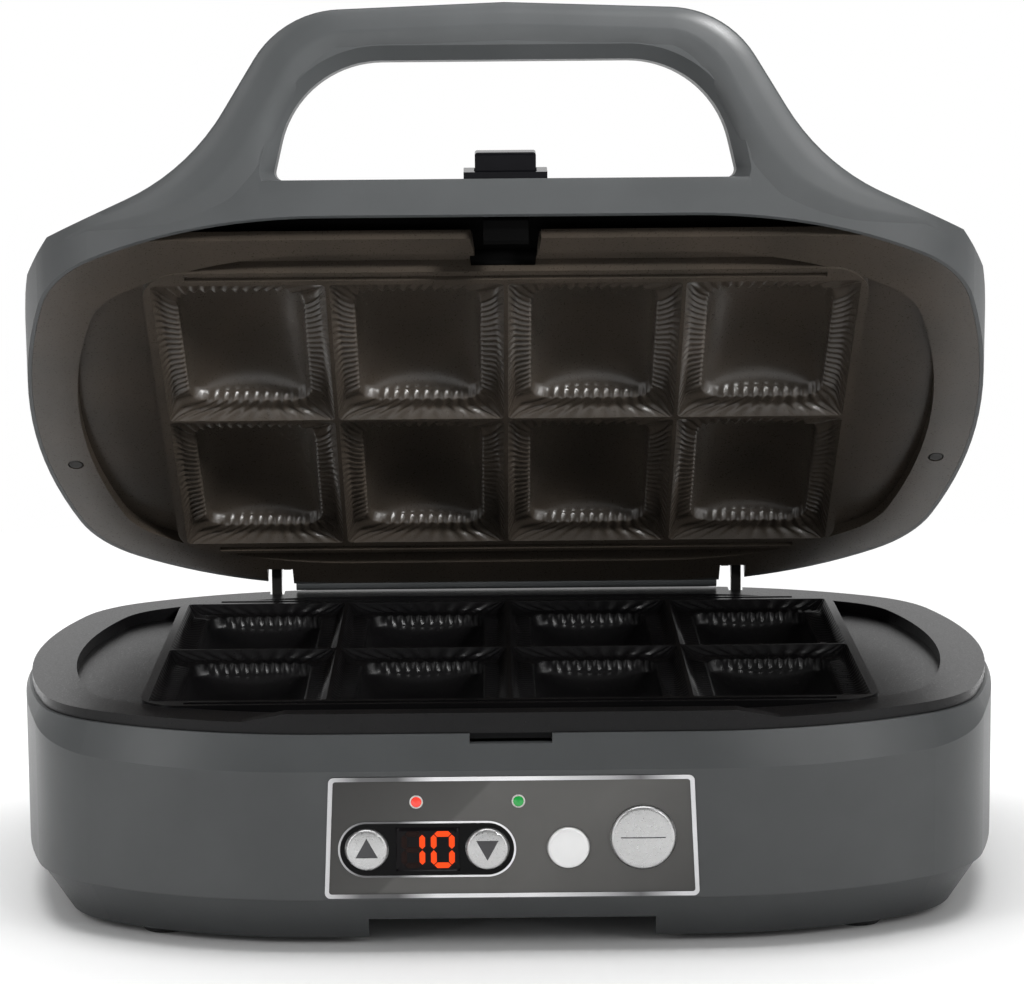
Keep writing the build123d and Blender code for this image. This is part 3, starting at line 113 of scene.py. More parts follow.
def finish(name, dark, light, rough, metal=0.0, patch=0.03, grain=0.0005, depth=0.00002,
           coat=0.0, specular=0.5, glow=None):
    """A finish that drifts from dark to light over patches, with a fine grain in its relief and gloss."""
    material = bpy.data.materials.new(name)
    material.use_nodes = True
    tree = material.node_tree
    shader = tree.nodes["Principled BSDF"]
    place = object_place(tree)
    fine = noise(tree, place, grain)
    drift = span(tree, noise(tree, place, patch, 4.0), 0, 1)
    link(tree, mixed(tree, drift, dark, light), shader.inputs["Base Color"])
    link(tree, span(tree, fine, *rough), shader.inputs["Roughness"])
    shader.inputs["Metallic"].default_value = metal
    shader.inputs["Coat Weight"].default_value = coat
    shader.inputs["Coat Roughness"].default_value = 0.05
    shader.inputs["Specular IOR Level"].default_value = specular
    if depth:
        bump = tree.nodes.new("ShaderNodeBump")
        bump.inputs["Distance"].default_value = depth
        link(tree, fine, bump.inputs["Height"])
        link(tree, bump.outputs["Normal"], shader.inputs["Normal"])
    if glow:
        shader.inputs["Emission Color"].default_value = glow[0]
        shader.inputs["Emission Strength"].default_value = glow[1]
    return material


def painted_light_bands(material, weights, low, high, stops):
    """Multiplies a finish by grey levels (0-255) at stops between low and high along a direction: painted light bands.
    """
    tree = material.node_tree
    share = span(tree, along_direction(tree, object_place(tree), weights), 0, 1, low, high)
    ramp = tree.nodes.new("ShaderNodeValToRGB")
    link(tree, share, ramp.inputs["Fac"])
    elements = ramp.color_ramp.elements
    for element, (position, level) in zip(elements, (stops[0], stops[-1])):
        element.position, element.color = position, tone(level, level, level)
    for position, level in stops[1:-1]:
        elements.new(position).color = tone(level, level, level)
    target = tree.nodes["Principled BSDF"].inputs["Base Color"]
    source = target.links[0].from_socket
    node = tree.nodes.new("ShaderNodeMix")
    node.data_type = "RGBA"
    node.blend_type = "MULTIPLY"
    node.inputs["Factor"].default_value = 1.0
    link(tree, source, node.inputs["A"])
    link(tree, ramp.outputs["Color"], node.inputs["B"])
    link(tree, node.outputs["Result"], target)


# ---------------------------------------------------------------- the finishes

# plastics and coatings
HOUSING = finish("painted_housing", tone(62, 64, 65), tone(68, 70, 71), (0.36, 0.44),
                 grain=0.00035, depth=0.000012)
COVER = finish("moulded_cover", tone(56, 58, 59), tone(62, 64, 65), (0.4, 0.52), grain=0.0004)
COATING = finish("nonstick_coating", tone(12, 12, 13), tone(18, 17, 18), (0.27, 0.36),
                 grain=0.0007, specular=0.22)
# painted light: the lid's coating is drawn lighter and warmer than the same coating on the base, as a painted warm
# reflection and painted light on the lid's underside
LID_COATING_AND_PAINTED_LIGHT = finish("nonstick_coating_painted_warm_light", tone(54, 49, 43), tone(64, 57, 50), (0.26, 0.36), grain=0.0007)
RUBBER = finish("foot_rubber", tone(26, 26, 27), tone(34, 34, 35), (0.7, 0.85))
# painted shade: near black with almost no gloss, for what lies in the shade of the latch pocket
PAINTED_SHADE = finish("painted_shade_black", tone(3, 3, 3), tone(5, 5, 5), (0.5, 0.6), depth=0, specular=0.02)
BLACK = finish("satin_black", tone(6, 6, 7), tone(10, 10, 12), (0.3, 0.42), specular=0.08)
GLOSS = finish("gloss_black", tone(8, 8, 10), tone(13, 13, 16), (0.12, 0.2), depth=0.000004, specular=0.12)
BOARD = finish("circuit_board", tone(24, 74, 46), tone(34, 92, 58), (0.4, 0.55), patch=0.006)

# metals
STEEL = finish("plated_steel", tone(168, 168, 170), tone(196, 196, 198), (0.24, 0.4), metal=1.0)
DARK_STEEL = finish("blackened_steel", tone(34, 33, 32), tone(46, 45, 43), (0.34, 0.5), metal=0.6, patch=0.004)
SHEET = finish("aluminised_sheet", tone(170, 172, 172), tone(200, 202, 202), (0.3, 0.5), metal=1.0, patch=0.01)
CHROME = finish("bright_trim", tone(214, 214, 216), tone(226, 226, 228), (0.1, 0.16), metal=1.0, depth=0)
# painted reflection: light and dark streaks across the chrome trims, from left to right
painted_light_bands(CHROME, (1, 0, 0), -0.066, 0.066, [
    (0.0, 235), (0.1, 120), (0.2, 110), (0.3, 250), (0.55, 255), (0.75, 190), (0.84, 120), (0.95, 235)])

# control panel
PANEL = finish("control_panel_gloss", tone(92, 91, 89), tone(97, 96, 94), (0.16, 0.24),
               depth=0.000003, specular=0.3)
# painted reflection: the gloss panel is darker and lighter in diagonal bands, with a sharp edge between them
painted_light_bands(PANEL, (1, 0, -1), -0.13, 0.05, [(0.0, 150), (0.2, 185), (0.338, 212), (0.346, 246), (0.6, 250), (1.0, 190)])
SILVER = finish("silver_key", tone(192, 192, 192), tone(202, 202, 202), (0.27, 0.29), metal=0.75, depth=0)
PEARL = finish("pearl_key", tone(240, 240, 240), tone(248, 248, 248), (0.16, 0.2), metal=0.1, depth=0, coat=0.5)
INK = finish("printed_mark", tone(64, 64, 66), tone(74, 74, 76), (0.5, 0.6), depth=0)
PALE = finish("pale_lamp_ring", tone(206, 204, 200), tone(222, 220, 216), (0.25, 0.35), metal=0.3, depth=0)
RED = finish("red_lens", tone(226, 52, 40), tone(240, 70, 54), (0.12, 0.2),
             glow=(tone(232, 60, 44), 0.35), coat=0.6)
GREEN = finish("green_lens", tone(16, 134, 52), tone(26, 150, 64), (0.12, 0.2),
               glow=(tone(16, 140, 56), 0.35), coat=0.6)
WINDOW = finish("display_window_gloss", tone(4, 4, 5), tone(8, 8, 9), (0.08, 0.14), depth=0, specular=0.1)
FIELD = finish("digit_field_gloss", tone(14, 12, 14), tone(18, 16, 18), (0.12, 0.2), depth=0, specular=0.1)
LIT = finish("lit_segment", tone(150, 40, 12), tone(170, 52, 18), (0.4, 0.5), depth=0, specular=0.1,
             glow=(tone(255, 76, 26), 0.82))
UNLIT = finish("unlit_segment", tone(30, 18, 16), tone(36, 22, 19), (0.4, 0.5), depth=0, specular=0.1)

FINISH_OF_SLOT = {
    "housing": HOUSING,
    "rubber": RUBBER,
    "nonstick": COATING,
    "steel": STEEL,
    "sheet": SHEET,
    "latch_black": BLACK,
    "gloss_black": GLOSS,
    "panel": PANEL,
    "chrome": CHROME,
    "window": WINDOW,
    "button_silver": SILVER,
    "button_white": PEARL,
    "red_lens": RED,
    "green_lens": GREEN,
    "board": BOARD,
}
# nodes whose own finish differs from that of their slot
FINISH_OF_NODE = {
    "base_cover": COVER,
    "upper_plate": LID_COATING_AND_PAINTED_LIGHT,
    "latch_keeper": BLACK,
    # the hook and the front guard are drawn in the painted shade of the latch pocket
    "latch_hook": PAINTED_SHADE,
    "latch_pin": BLACK,
    "front_guard": PAINTED_SHADE,
    "latch_springs": DARK_STEEL,
    "upper_plate_screws": DARK_STEEL,
    "lower_plate_screws": DARK_STEEL,
    "hinge_brackets": DARK_STEEL,
    "lid_hinge_brackets": DARK_STEEL,
    "hinge_pins": DARK_STEEL,
    "panel_face": PANEL,
    "panel_trim": CHROME,
    "display_trim": CHROME,
}
for node in nodes.values():
    for slot in node.material_slots:
        slot.material = FINISH_OF_SLOT[slot.material.name.split(".")[0]]
for name, material in FINISH_OF_NODE.items():
    nodes[name].material_slots[0].material = material


# ---------------------------------------------------------------- building pieces

RIM_Z, LID_Z = 81.0, 84.0
HINGE_Y, HINGE_Z, LID_OPEN = 121.5, 96.0, math.radians(41.2)


def opened(x, y, z):
    """A point of the closed lid, where it lies with the lid open."""
    dy, dz = y - HINGE_Y, z - HINGE_Z
    return Vector((x, HINGE_Y + dy * math.cos(LID_OPEN) + dz * math.sin(LID_OPEN),
                   HINGE_Z - dy * math.sin(LID_OPEN) + dz * math.cos(LID_OPEN))) * MM


def eased(value, start, run):
    """How far a value has got from its start through a run, held to 0-1."""
    return max(0.0, min(1.0, (value - start) / run))


def join_rows(mesh, rows, wrap):
    """Four-cornered faces between successive rows of vertices; wrap closes each row on itself."""
    for a, b in zip(rows, rows[1:]):
        for k in range(len(a) if wrap else len(a) - 1):
            nxt = (k + 1) % len(a)
            mesh.faces.new((a[k], a[nxt], b[nxt], b[k]))


def loft(mesh, rows):
    """A closed solid through rows of vertices, each the whole outline of its section."""
    join_rows(mesh, rows, True)
    mesh.faces.new(rows[0][::-1])
    mesh.faces.new(rows[-1])


def dish(mesh, middle, rings):
    """Faces from a middle vertex out through rings of vertices."""
    first = rings[0]
    for k in range(len(first)):
        mesh.faces.new((middle, first[k], first[(k + 1) % len(first)]))
    join_rows(mesh, rings, True)


def made(name, mesh, material, body, sharp=None):
    """A smooth piece from a bmesh, on a body, with its finish.

    Edges that turn by more than `sharp` degrees stay sharp.
    """
    data = bpy.data.meshes.new(name)
    mesh.to_mesh(data)
    mesh.free()
    data.materials.append(material)
    data.shade_smooth()
    if sharp:
        data.set_sharp_from_angle(angle=math.radians(sharp))
    piece = bpy.data.objects.new(name, data)
    bpy.context.scene.collection.objects.link(piece)
    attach(piece, body)


def turned_out(mesh):
    """The mesh, with its faces turned to look outwards."""
    bmesh.ops.recalc_face_normals(mesh, faces=mesh.faces)
    return mesh


def tree_of(node):
    """The faces of a carried-over CAD node, for setting pieces on them."""
    data = nodes[node].data
    return BVHTree.FromPolygons([v.co for v in data.vertices], [p.vertices for p in data.polygons])


# ---------------------------------------------------------------- crimps and bowls of the cells

CELL_W, CELL_L = 65.0, 91.0
COLUMNS, ROWS = 4, 2
RIDGE = 0.7
# flutes and mesh steps along one long side, one short end and one corner of a cell
SIDE_FLUTES, END_FLUTES, CORNER_FLUTES = 18, 8, 3
SIDE_STEPS, END_STEPS, CORNER_STEPS = 90, 48, 15
END_SLANT = 0.16
CRIMP_RISE = 1.25
# rings from the ridge to the edge of the bowl: distance in from the ridge, height over the rim, corner
# radius, and how far the flutes stand up and lean in there
CRIMP_RINGS = [
    (0.1, 0.72, 2.1, 0.0, 0.0), (1.0, -0.9, 4.0, 0.3, 0.1), (1.9, -2.3, 6.5, 0.7, 0.25), (2.9, -3.4, 9.0, 0.95, 0.1),
    (4.6, -3.45, 9.5, 1.0, 0.0), (6.4, -3.45, 9.0, 1.0, 0.1), (7.5, -3.45, 8.5, 0.9, 0.35), (8.2, -3.55, 8.0, 0.6, 0.6),
]
BOWL_TOP, BOWL_DEPTH, BOWL_HALF_W, BOWL_HALF_L, BOWL_R = -3.6, 14.0, 23.6, 36.4, 8.0
# how square the vault is at its ends: 2 and 0.5 would be an ellipse
END_SQUARE, END_FULL = 2.5, 0.4
BOWL_SHARES = (0.985, 0.95, 0.89, 0.8, 0.66, 0.48, 0.27, 0.06)


def cell_loop(half_w, half_l, radius):
    """Points (x, y, flute count) round a cell: sides, ends and corners each keep their own steps."""
    loop, count = [], 0.0
    for quarter in range(4):
        is_side = quarter % 2 == 0
        steps, flutes = (SIDE_STEPS, SIDE_FLUTES) if is_side else (END_STEPS, END_FLUTES)
        half, away = (half_l, half_w) if is_side else (half_w, half_l)
        turn = quarter * math.pi / 2
        for k in range(steps):
            along = (2 * k / steps - 1) * (half - radius)
            loop.append((away, along, turn, count + flutes * k / steps))
        count += flutes
        for k in range(CORNER_STEPS):
            angle = math.pi / 2 * k / CORNER_STEPS
            loop.append((away - radius + radius * math.cos(angle), half - radius + radius * math.sin(angle), turn,
                         count + CORNER_FLUTES * k / CORNER_STEPS))
        count += CORNER_FLUTES
    return [(x * math.cos(turn) - y * math.sin(turn), x * math.sin(turn) + y * math.cos(turn), flute)
            for x, y, turn, flute in loop]


def crimp_ring(distance, height, radius, up, inward):
    """One ring of the fluted crimp, as (x, y, height)."""
    half_w, half_l = CELL_W / 2 - RIDGE - distance, CELL_L / 2 - RIDGE - distance
    ring = []
    for x, y, flute in cell_loop(half_w, half_l, radius):
        slant = END_SLANT * distance * eased(abs(y) - half_l + radius, 0.0, radius)
        wave = 0.5 + 0.5 * math.cos(2 * math.pi * (flute + slant))
        shrink = 1 - CRIMP_RISE * inward * wave / half_w
        ring.append((x * shrink, y * shrink, height + CRIMP_RISE * up * wave))
    return ring


def bowl_ring(share):
    """One ring of the vaulted bowl, at a share of its way out from the middle, as (x, y, height)."""
    radius = BOWL_R * share ** 0.5 * min(1, share * 2)
    ring = []
    for x, y, flute in cell_loop(BOWL_HALF_W * share, BOWL_HALF_L * share, radius):
        across = max(0.0, 1 - (x / BOWL_HALF_W) ** 2) ** 0.5
        lengthways = max(0.0, 1 - abs(y / BOWL_HALF_L) ** END_SQUARE) ** END_FULL
        ring.append((x, y, BOWL_TOP - BOWL_DEPTH * across * lengthways))
    return ring


def cell_lining(mesh, centre, upper):
    """The coated skin of one cell: fluted crimp from its ridge down to the bowl, and the vaulted bowl."""
    rows = []
    for ring in [crimp_ring(*numbers) for numbers in CRIMP_RINGS] + [bowl_ring(share) for share in BOWL_SHARES]:
        if upper:
            places = [opened(centre[0] + x, centre[1] + y, LID_Z - height) for x, y, height in ring][::-1]
        else:
            places = [Vector((centre[0] + x, centre[1] + y, RIM_Z + height)) * MM for x, y, height in ring]
        rows.append([mesh.verts.new(place) for place in places])
    join_rows(mesh, rows, True)
    mesh.faces.new(rows[-1])


def cells(name, body, upper, material):
    mesh = bmesh.new()
    for column in range(COLUMNS):
        for row in range(ROWS):
            cell_lining(mesh, ((column - (COLUMNS - 1) / 2) * CELL_W, (row - (ROWS - 1) / 2) * CELL_L), upper)
    made(name, mesh, material, body)


cells("lower_cell_lining", "base", False, COATING)
cells("upper_cell_lining", "lid", True, LID_COATING_AND_PAINTED_LIGHT)


# ---------------------------------------------------------------- edge of the band under the hand opening

LEAN, RISE = math.radians(45), math.radians(36)
BODY_FRONT, BAND_TOP, BAND_CUT, BAND_END, BAND_STEP = 131.5, 12.7, 5.0, 87.0, 3.0
# the lid's outline runs straight to FLAT_END and then back along an arc; the band climbs as it goes back
FLAT_END, SHOULDER_R, BAND_CLIMB = 66.0, 155.0, 0.595
BAND_SOFT, BAND_NOSE_Y, BAND_NOSE_Z = 0.5, 0.15, 0.02
# the latch stands in a well behind this part of the band
WELL_HALF, WELL_FRONT = 11.4, 2.1


def band_section(x, depth):
    """The corner of the band where the grip's bevel would cut it, down to a depth from its edge."""
    beyond = max(0.0, abs(x) - FLAT_END)
    back = SHOULDER_R - math.sqrt(SHOULDER_R ** 2 - beyond ** 2)
    edge_y = -BODY_FRONT + back - (BAND_TOP + BAND_CLIMB * back) * math.sin(LEAN)
    edge_z = LID_Z + (BAND_TOP + BAND_CLIMB * back) * math.cos(LEAN)

    def down_front(distance):
        return edge_y + distance * math.sin(LEAN), edge_z - distance * math.cos(LEAN)

    def up_top(distance):
        return edge_y + distance * math.cos(RISE), edge_z + distance * math.sin(RISE)

    down, far = down_front(BAND_CUT), up_top(BAND_CUT)
    share = depth / BAND_CUT
    cut = (down[0] + (far[0] - down[0]) * share, down[1] + (far[1] - down[1]) * share)
    nose = (edge_y + BAND_NOSE_Y, edge_z + BAND_NOSE_Z)
    return [opened(x, *p) for p in (down, down_front(BAND_SOFT), nose, up_top(BAND_SOFT), up_top(depth), cut)]


def band_edge():
    mesh = bmesh.new()
    for start, end, depth in (
        (-BAND_END, -WELL_HALF, BAND_CUT), (-WELL_HALF, WELL_HALF, WELL_FRONT), (WELL_HALF, BAND_END, BAND_CUT),
    ):
        steps = max(2, round((end - start) / BAND_STEP))
        loft(mesh, [[mesh.verts.new(p) for p in band_section(start + (end - start) * k / steps, depth)]
                    for k in range(steps + 1)])
    made("handle_band_edge", turned_out(mesh), HOUSING, "lid", sharp=40)


band_edge()


# ---------------------------------------------------------------- rear lip of the lid

REAR_LIP_HALF, REAR_LIP_T, REAR_LIP_STEPS = 87.0, 1.4, 29
# turn about the hinge from straight down, in degrees, and distance from the hinge
REAR_LIP_LINE = [
    (12.5, 12.1), (14.5, 12.9), (17, 13.7), (20, 14.3), (25, 14.4), (31, 14.4), (37, 14.4), (42, 14.3),
]


def rear_lip():
    section = REAR_LIP_LINE + [(turn, r - REAR_LIP_T) for turn, r in REAR_LIP_LINE[::-1]]
    mesh = bmesh.new()
    rows = []
    for k in range(REAR_LIP_STEPS + 1):
        x = -REAR_LIP_HALF + 2 * REAR_LIP_HALF * k / REAR_LIP_STEPS
        rows.append([mesh.verts.new(opened(x, HINGE_Y + r * math.sin(math.radians(turn)),
                                           HINGE_Z - r * math.cos(math.radians(turn)))) for turn, r in section])
    loft(mesh, rows)
    made("lid_rear_lip", turned_out(mesh), HOUSING, "lid", sharp=40)


rear_lip()


# ---------------------------------------------------------------- painted shade in the mouth of the latch pocket

MOUTH_SKIN, MOUTH_COLUMNS = 0.25, 4
MOUTH_WALL_Y, MOUTH_DEEP_Y = -100.0, -98.0
MOUTH_HIGH_Z, MOUTH_STEP_Z, MOUTH_LOW_Z = 91.4, 88.4, 85.7
# left and right edge at the near end of the mouth and at its far end
MOUTH_NEAR, MOUTH_FAR = (-13.3, 11.3), (-12.6, 10.6)


def latch_mouth_painted_shade():
    """A thin sheet of painted shade down the mouth, over the step in the plate behind the latch."""
    line = [(MOUTH_WALL_Y - MOUTH_SKIN, MOUTH_HIGH_Z), (MOUTH_WALL_Y - MOUTH_SKIN, MOUTH_STEP_Z - MOUTH_SKIN),
            (MOUTH_DEEP_Y - MOUTH_SKIN, MOUTH_STEP_Z - MOUTH_SKIN), (MOUTH_DEEP_Y - MOUTH_SKIN, MOUTH_LOW_Z)]
    total = sum(math.dist(a, b) for a, b in zip(line, line[1:]))
    mesh = bmesh.new()
    rows = []
    for k, point in enumerate(line):
        share = sum(math.dist(a, b) for a, b in zip(line[:k], line[1:k + 1])) / total
        left, right = (near + (far - near) * share for near, far in zip(MOUTH_NEAR, MOUTH_FAR))
        rows.append([mesh.verts.new(opened(left + (right - left) * j / MOUTH_COLUMNS, *point))
                     for j in range(MOUTH_COLUMNS + 1)])
    join_rows(mesh, rows, False)
    made("latch_mouth_painted_shade", turned_out(mesh), PAINTED_SHADE, "lid")


latch_mouth_painted_shade()


# ---------------------------------------------------------------- bevelled edge of the handle

# outline of the arch over the lip of the lid, as part.py draws it: x, and distance up the lean
ARCH_LINE = [(0, 74.6), (77.5, 71.8), (112.4, 16.4), (166.0, -6.8)]
ARCH_RADII = [37.0, 80.0]
ARCH_STEP = 1.5
# across the bevel: share of its width in from the edge, and how far it stands out from the cover there
BEVEL_RINGS = [
    (0.0, -0.3), (0.03, 0.25), (0.3, 1.0), (0.52, 1.75), (0.58, 1.85), (0.66, 1.8), (0.85, 0.9), (1.0, -0.2),
]
BEVEL_MARGIN, BEVEL_W = 0.15, 13.5
# the bevel widens on its way down and narrows again at its feet: change, from where on, and over how long
BEVEL_WIDENS, BEVEL_NARROWS = (8.0, 60, 45), (17.0, 112, 40)
BEVEL_END, BEVEL_FADE = 160, 40
RAY_START = 0.03


def rounded_line(points, radii, step):
    """A line through points with its inner corners rounded, as points no more than about a step apart."""
    path = [Vector(points[0])]
    for before, corner, after, radius in zip(points, points[1:], points[2:], radii):
        corner = Vector(corner)
        back, on = (Vector(before) - corner).normalized(), (Vector(after) - corner).normalized()
        half = back.angle(on) / 2
        reach = radius / math.tan(half)
        centre = corner + (back + on).normalized() * radius / math.sin(half)
        start, end = corner + back * reach - centre, corner + on * reach - centre
        turn = (math.pi - 2 * half) * (1 if start.x * end.y - start.y * end.x > 0 else -1)
        count = max(6, round(radius * abs(turn) / step))
        for k in range(count + 1):
            path.append(centre + Matrix.Rotation(turn * k / count, 2) @ start)
    path.append(Vector(points[-1]))
    fine = [path[0]]
    for a, b in zip(path, path[1:]):
        count = max(1, math.ceil((b - a).length / step))
        fine += [a.lerp(b, k / count) for k in range(1, count + 1)]
    return fine


def arch_bevel():
    """The raised bevel that runs from one foot of the handle over its top to the other, lying on the lid cover."""
    half = rounded_line(ARCH_LINE, ARCH_RADII, ARCH_STEP)
    edge = [Vector((-p.x, p.y)) for p in half[:0:-1]] + half
    cover = tree_of("lid_cover")
    along = (opened(0, math.cos(RISE), math.sin(RISE)) - opened(0, 0, 0)).normalized()
    mesh = bmesh.new()
    rows = []
    for k, point in enumerate(edge):
        run = (edge[min(k + 1, len(edge) - 1)] - edge[max(k - 1, 0)]).normalized()
        inward = Vector((run.y, -run.x))
        side = abs(point.x)
        width = (BEVEL_W + BEVEL_WIDENS[0] * eased(side, *BEVEL_WIDENS[1:])
                 - BEVEL_NARROWS[0] * eased(side, *BEVEL_NARROWS[1:]))
        foot = eased(BEVEL_END - side, 0, BEVEL_FADE)
        places = []
        for share, out in BEVEL_RINGS:
            spot = point + inward * (BEVEL_MARGIN + share * width)
            y, z = -BODY_FRONT - spot.y * math.sin(LEAN), LID_Z + spot.y * math.cos(LEAN)
            hit = cover.ray_cast(opened(spot.x, y, z) - along * RAY_START, along)[0]
            if hit is not None:
                places.append(hit - along * out * (foot if out > 0 else 1.0) * MM)
        if len(places) == len(BEVEL_RINGS):
            rows.append([mesh.verts.new(place) for place in places])
    join_rows(mesh, rows, False)
    made("handle_bevel", turned_out(mesh), HOUSING, "lid", sharp=50)


arch_bevel()


# ---------------------------------------------------------------- crowns of the buttons

CROWN_R = {"up_button": 6.1, "down_button": 6.1, "extra_button": 5.9, "start_button": 9.9}
CROWN_LIFT, CROWN_SAG = 0.04, 0.4
CROWN_RINGS, CROWN_STEPS = 8, 64


def middle_of(node):
    low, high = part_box(node)
    return (low[0] + high[0]) / 2 / MM, (low[2] + high[2]) / 2 / MM


def crown(button, radius, material):
    """The smooth crown of a button, lying on the button's own face."""
    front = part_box(button)[0][1]
    x, z = middle_of(button)
    mesh = bmesh.new()
    middle = mesh.verts.new((x * MM, front - CROWN_LIFT * MM, z * MM))
    rings = []
    for ring in range(1, CROWN_RINGS + 1):
        share = ring / CROWN_RINGS
        y = front + (CROWN_SAG * share ** 2 - CROWN_LIFT) * MM
        turns = [2 * math.pi * k / CROWN_STEPS for k in range(CROWN_STEPS)]
        rings.append([mesh.verts.new(((x + radius * share * math.cos(turn)) * MM, y,
                                      (z + radius * share * math.sin(turn)) * MM)) for turn in turns])
    dish(mesh, middle, rings)
    made(button + "_crown", turned_out(mesh), material, button)


for button, radius in CROWN_R.items():
    if button == "extra_button":
        crown(button, radius, PEARL)
    else:
        crown(button, radius, SILVER)


# ---------------------------------------------------------------- marks and digits of the control panel

MARK_STEP = 1.2


def mark(name, outline, node, material, body, lift, rings=5):
    """A thin inlay with a convex outline of (x, z), lying on the front of a node."""
    faces = tree_of(node)
    centre = sum((Vector(p) for p in outline), Vector((0, 0))) / len(outline)
    loop = []
    for a, b in zip(outline, outline[1:] + outline[:1]):
        steps = max(1, round(math.dist(a, b) / MARK_STEP))
        loop += [Vector(a).lerp(Vector(b), k / steps) for k in range(steps)]

    def on_face(point, out):
        hit = faces.ray_cast(Vector((point[0] * MM, -1.0, point[1] * MM)), Vector((0, 1, 0)))[0]
        return hit - Vector((0, out * MM, 0))

    mesh = bmesh.new()
    middle = mesh.verts.new(on_face(centre, lift))
    # the last ring turns back into the face
    shares = [(ring / rings, lift) for ring in range(1, rings + 1)] + [(1.0, -lift)]
    dish(mesh, middle, [[mesh.verts.new(on_face(centre.lerp(p, share), out)) for p in loop] for share, out in shares])
    made(name, turned_out(mesh), material, body)


BUTTON_MARK_LIFT = 0.1
ARROW_HALF = 3.9
# height of each arrow's base and of its tip over the middle of its button
ARROWS = {"up": (-2.6, 4.4), "down": (3.2, -3.9)}
START_LINE_HALF, START_LINE_T = 7.8, 0.4

for way, (base, tip) in ARROWS.items():
    button = way + "_button"
    x, z = middle_of(button)
    mark(way + "_mark", [(x - ARROW_HALF, z + base), (x + ARROW_HALF, z + base), (x, z + tip)],
         button, INK, button, BUTTON_MARK_LIFT)
x, z = middle_of("start_button")
mark("start_mark", [(x - START_LINE_HALF, z), (x + START_LINE_HALF, z), (x + START_LINE_HALF, z + START_LINE_T),
                    (x - START_LINE_HALF, z + START_LINE_T)],
     "start_button", INK, "start_button", BUTTON_MARK_LIFT, rings=12)

FIELD_LEFT, FIELD_RIGHT, FIELD_LOW, FIELD_HIGH = -40.4, -18.1, 29.5, 45.2
DIGIT_W, DIGIT_LOW, DIGIT_HIGH, STROKE, JOIN = 8.3, 30.6, 43.8, 2.0, 0.22
# left edge of each digit, its lit segments and its dark ones that can be seen
DIGITS = {"tens": (-38.5, "bc", "adefg"), "units": (-28.2, "abcdef", "")}
FIELD_LIFT, UNLIT_LIFT, LIT_LIFT = 0.02, 0.035, 0.05


def bar(start, end):
    """A six-cornered segment between two ends, pointed at both."""
    start, end = Vector(start), Vector(end)
    run = (end - start).normalized()
    side = Vector((-run.y, run.x)) * STROKE / 2
    tip = run * STROKE / 2
    near, far = start + run * JOIN, end - run * JOIN
    return [tuple(p) for p in (near, near + tip - side, far - tip - side, far, far - tip + side, near + tip + side)]


def segments(left):
    """The two ends of each of a digit's seven segments, by letter."""
    west, east = left + STROKE / 2, left + DIGIT_W - STROKE / 2
    low, mid, high = DIGIT_LOW + STROKE / 2, (DIGIT_LOW + DIGIT_HIGH) / 2, DIGIT_HIGH - STROKE / 2
    return {
        "a": ((west, high), (east, high)), "b": ((east, mid), (east, high)), "c": ((east, low), (east, mid)),
        "d": ((west, low), (east, low)), "e": ((west, low), (west, mid)), "f": ((west, mid), (west, high)),
        "g": ((west, mid), (east, mid)),
    }


mark("digit_field", [(FIELD_LEFT, FIELD_LOW), (FIELD_RIGHT, FIELD_LOW), (FIELD_RIGHT, FIELD_HIGH),
                     (FIELD_LEFT, FIELD_HIGH)], "display_window", FIELD, "base", FIELD_LIFT)
for place, (left, lit, dark) in DIGITS.items():
    for letter, ends in segments(left).items():
        if letter in lit + dark:
            material, lift = (LIT, LIT_LIFT) if letter in lit else (UNLIT, UNLIT_LIFT)
            mark(f"{place}_segment_{letter}", bar(*ends), "display_window", material, "base", lift, rings=2)


# ---------------------------------------------------------------- rings round the lamps

LAMP_RING_IN, LAMP_RING_OUT, LAMP_RING_PROUD, LAMP_RING_SUNK, LAMP_RING_STEPS = 1.85, 2.35, 0.3, 0.2, 40
LAMP_RING_SHOULDER = LAMP_RING_PROUD * 0.7


def lamp_ring(lamp):
    """A turned ring round a lamp, lying on the panel."""
    x, z = middle_of(lamp)
    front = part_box("panel_face")[0][1]
    profile = [(LAMP_RING_IN, LAMP_RING_SUNK), (LAMP_RING_IN, -LAMP_RING_SHOULDER),
               ((LAMP_RING_IN + LAMP_RING_OUT) / 2, -LAMP_RING_PROUD),
               (LAMP_RING_OUT, -LAMP_RING_SHOULDER), (LAMP_RING_OUT, LAMP_RING_SUNK)]
    mesh = bmesh.new()
    rows = []
    for k in range(LAMP_RING_STEPS):
        angle = 2 * math.pi * k / LAMP_RING_STEPS
        rows.append([mesh.verts.new(((x + r * math.cos(angle)) * MM, front + y * MM, (z + r * math.sin(angle)) * MM))
                     for r, y in profile])
    join_rows(mesh, rows + rows[:1], False)
    made(lamp + "_ring", turned_out(mesh), PALE, "base")


for lamp in ("heating_lamp", "ready_lamp"):
    lamp_ring(lamp)


# ---------------------------------------------------------------- floor and background

FLOOR_HALF = 6.0
PAPER_GREY, PAPER_ROUGH = 0.9, 0.9
# distance from the middle of the floor over which its paper fades into the white background
FADE_NEAR, FADE_FAR = 0.35, 0.8
# the unseen room gets brighter along this direction
ROOM_DIRECTION = (0, 0.9, 0.35)
ROOM_DIM, ROOM_BRIGHT, ROOM_DIM_AT, ROOM_BRIGHT_AT = 0.16, 0.85, -0.4, 0.9


def camera_ray(tree):
    return tree.nodes.new("ShaderNodeLightPath").outputs["Is Camera Ray"]


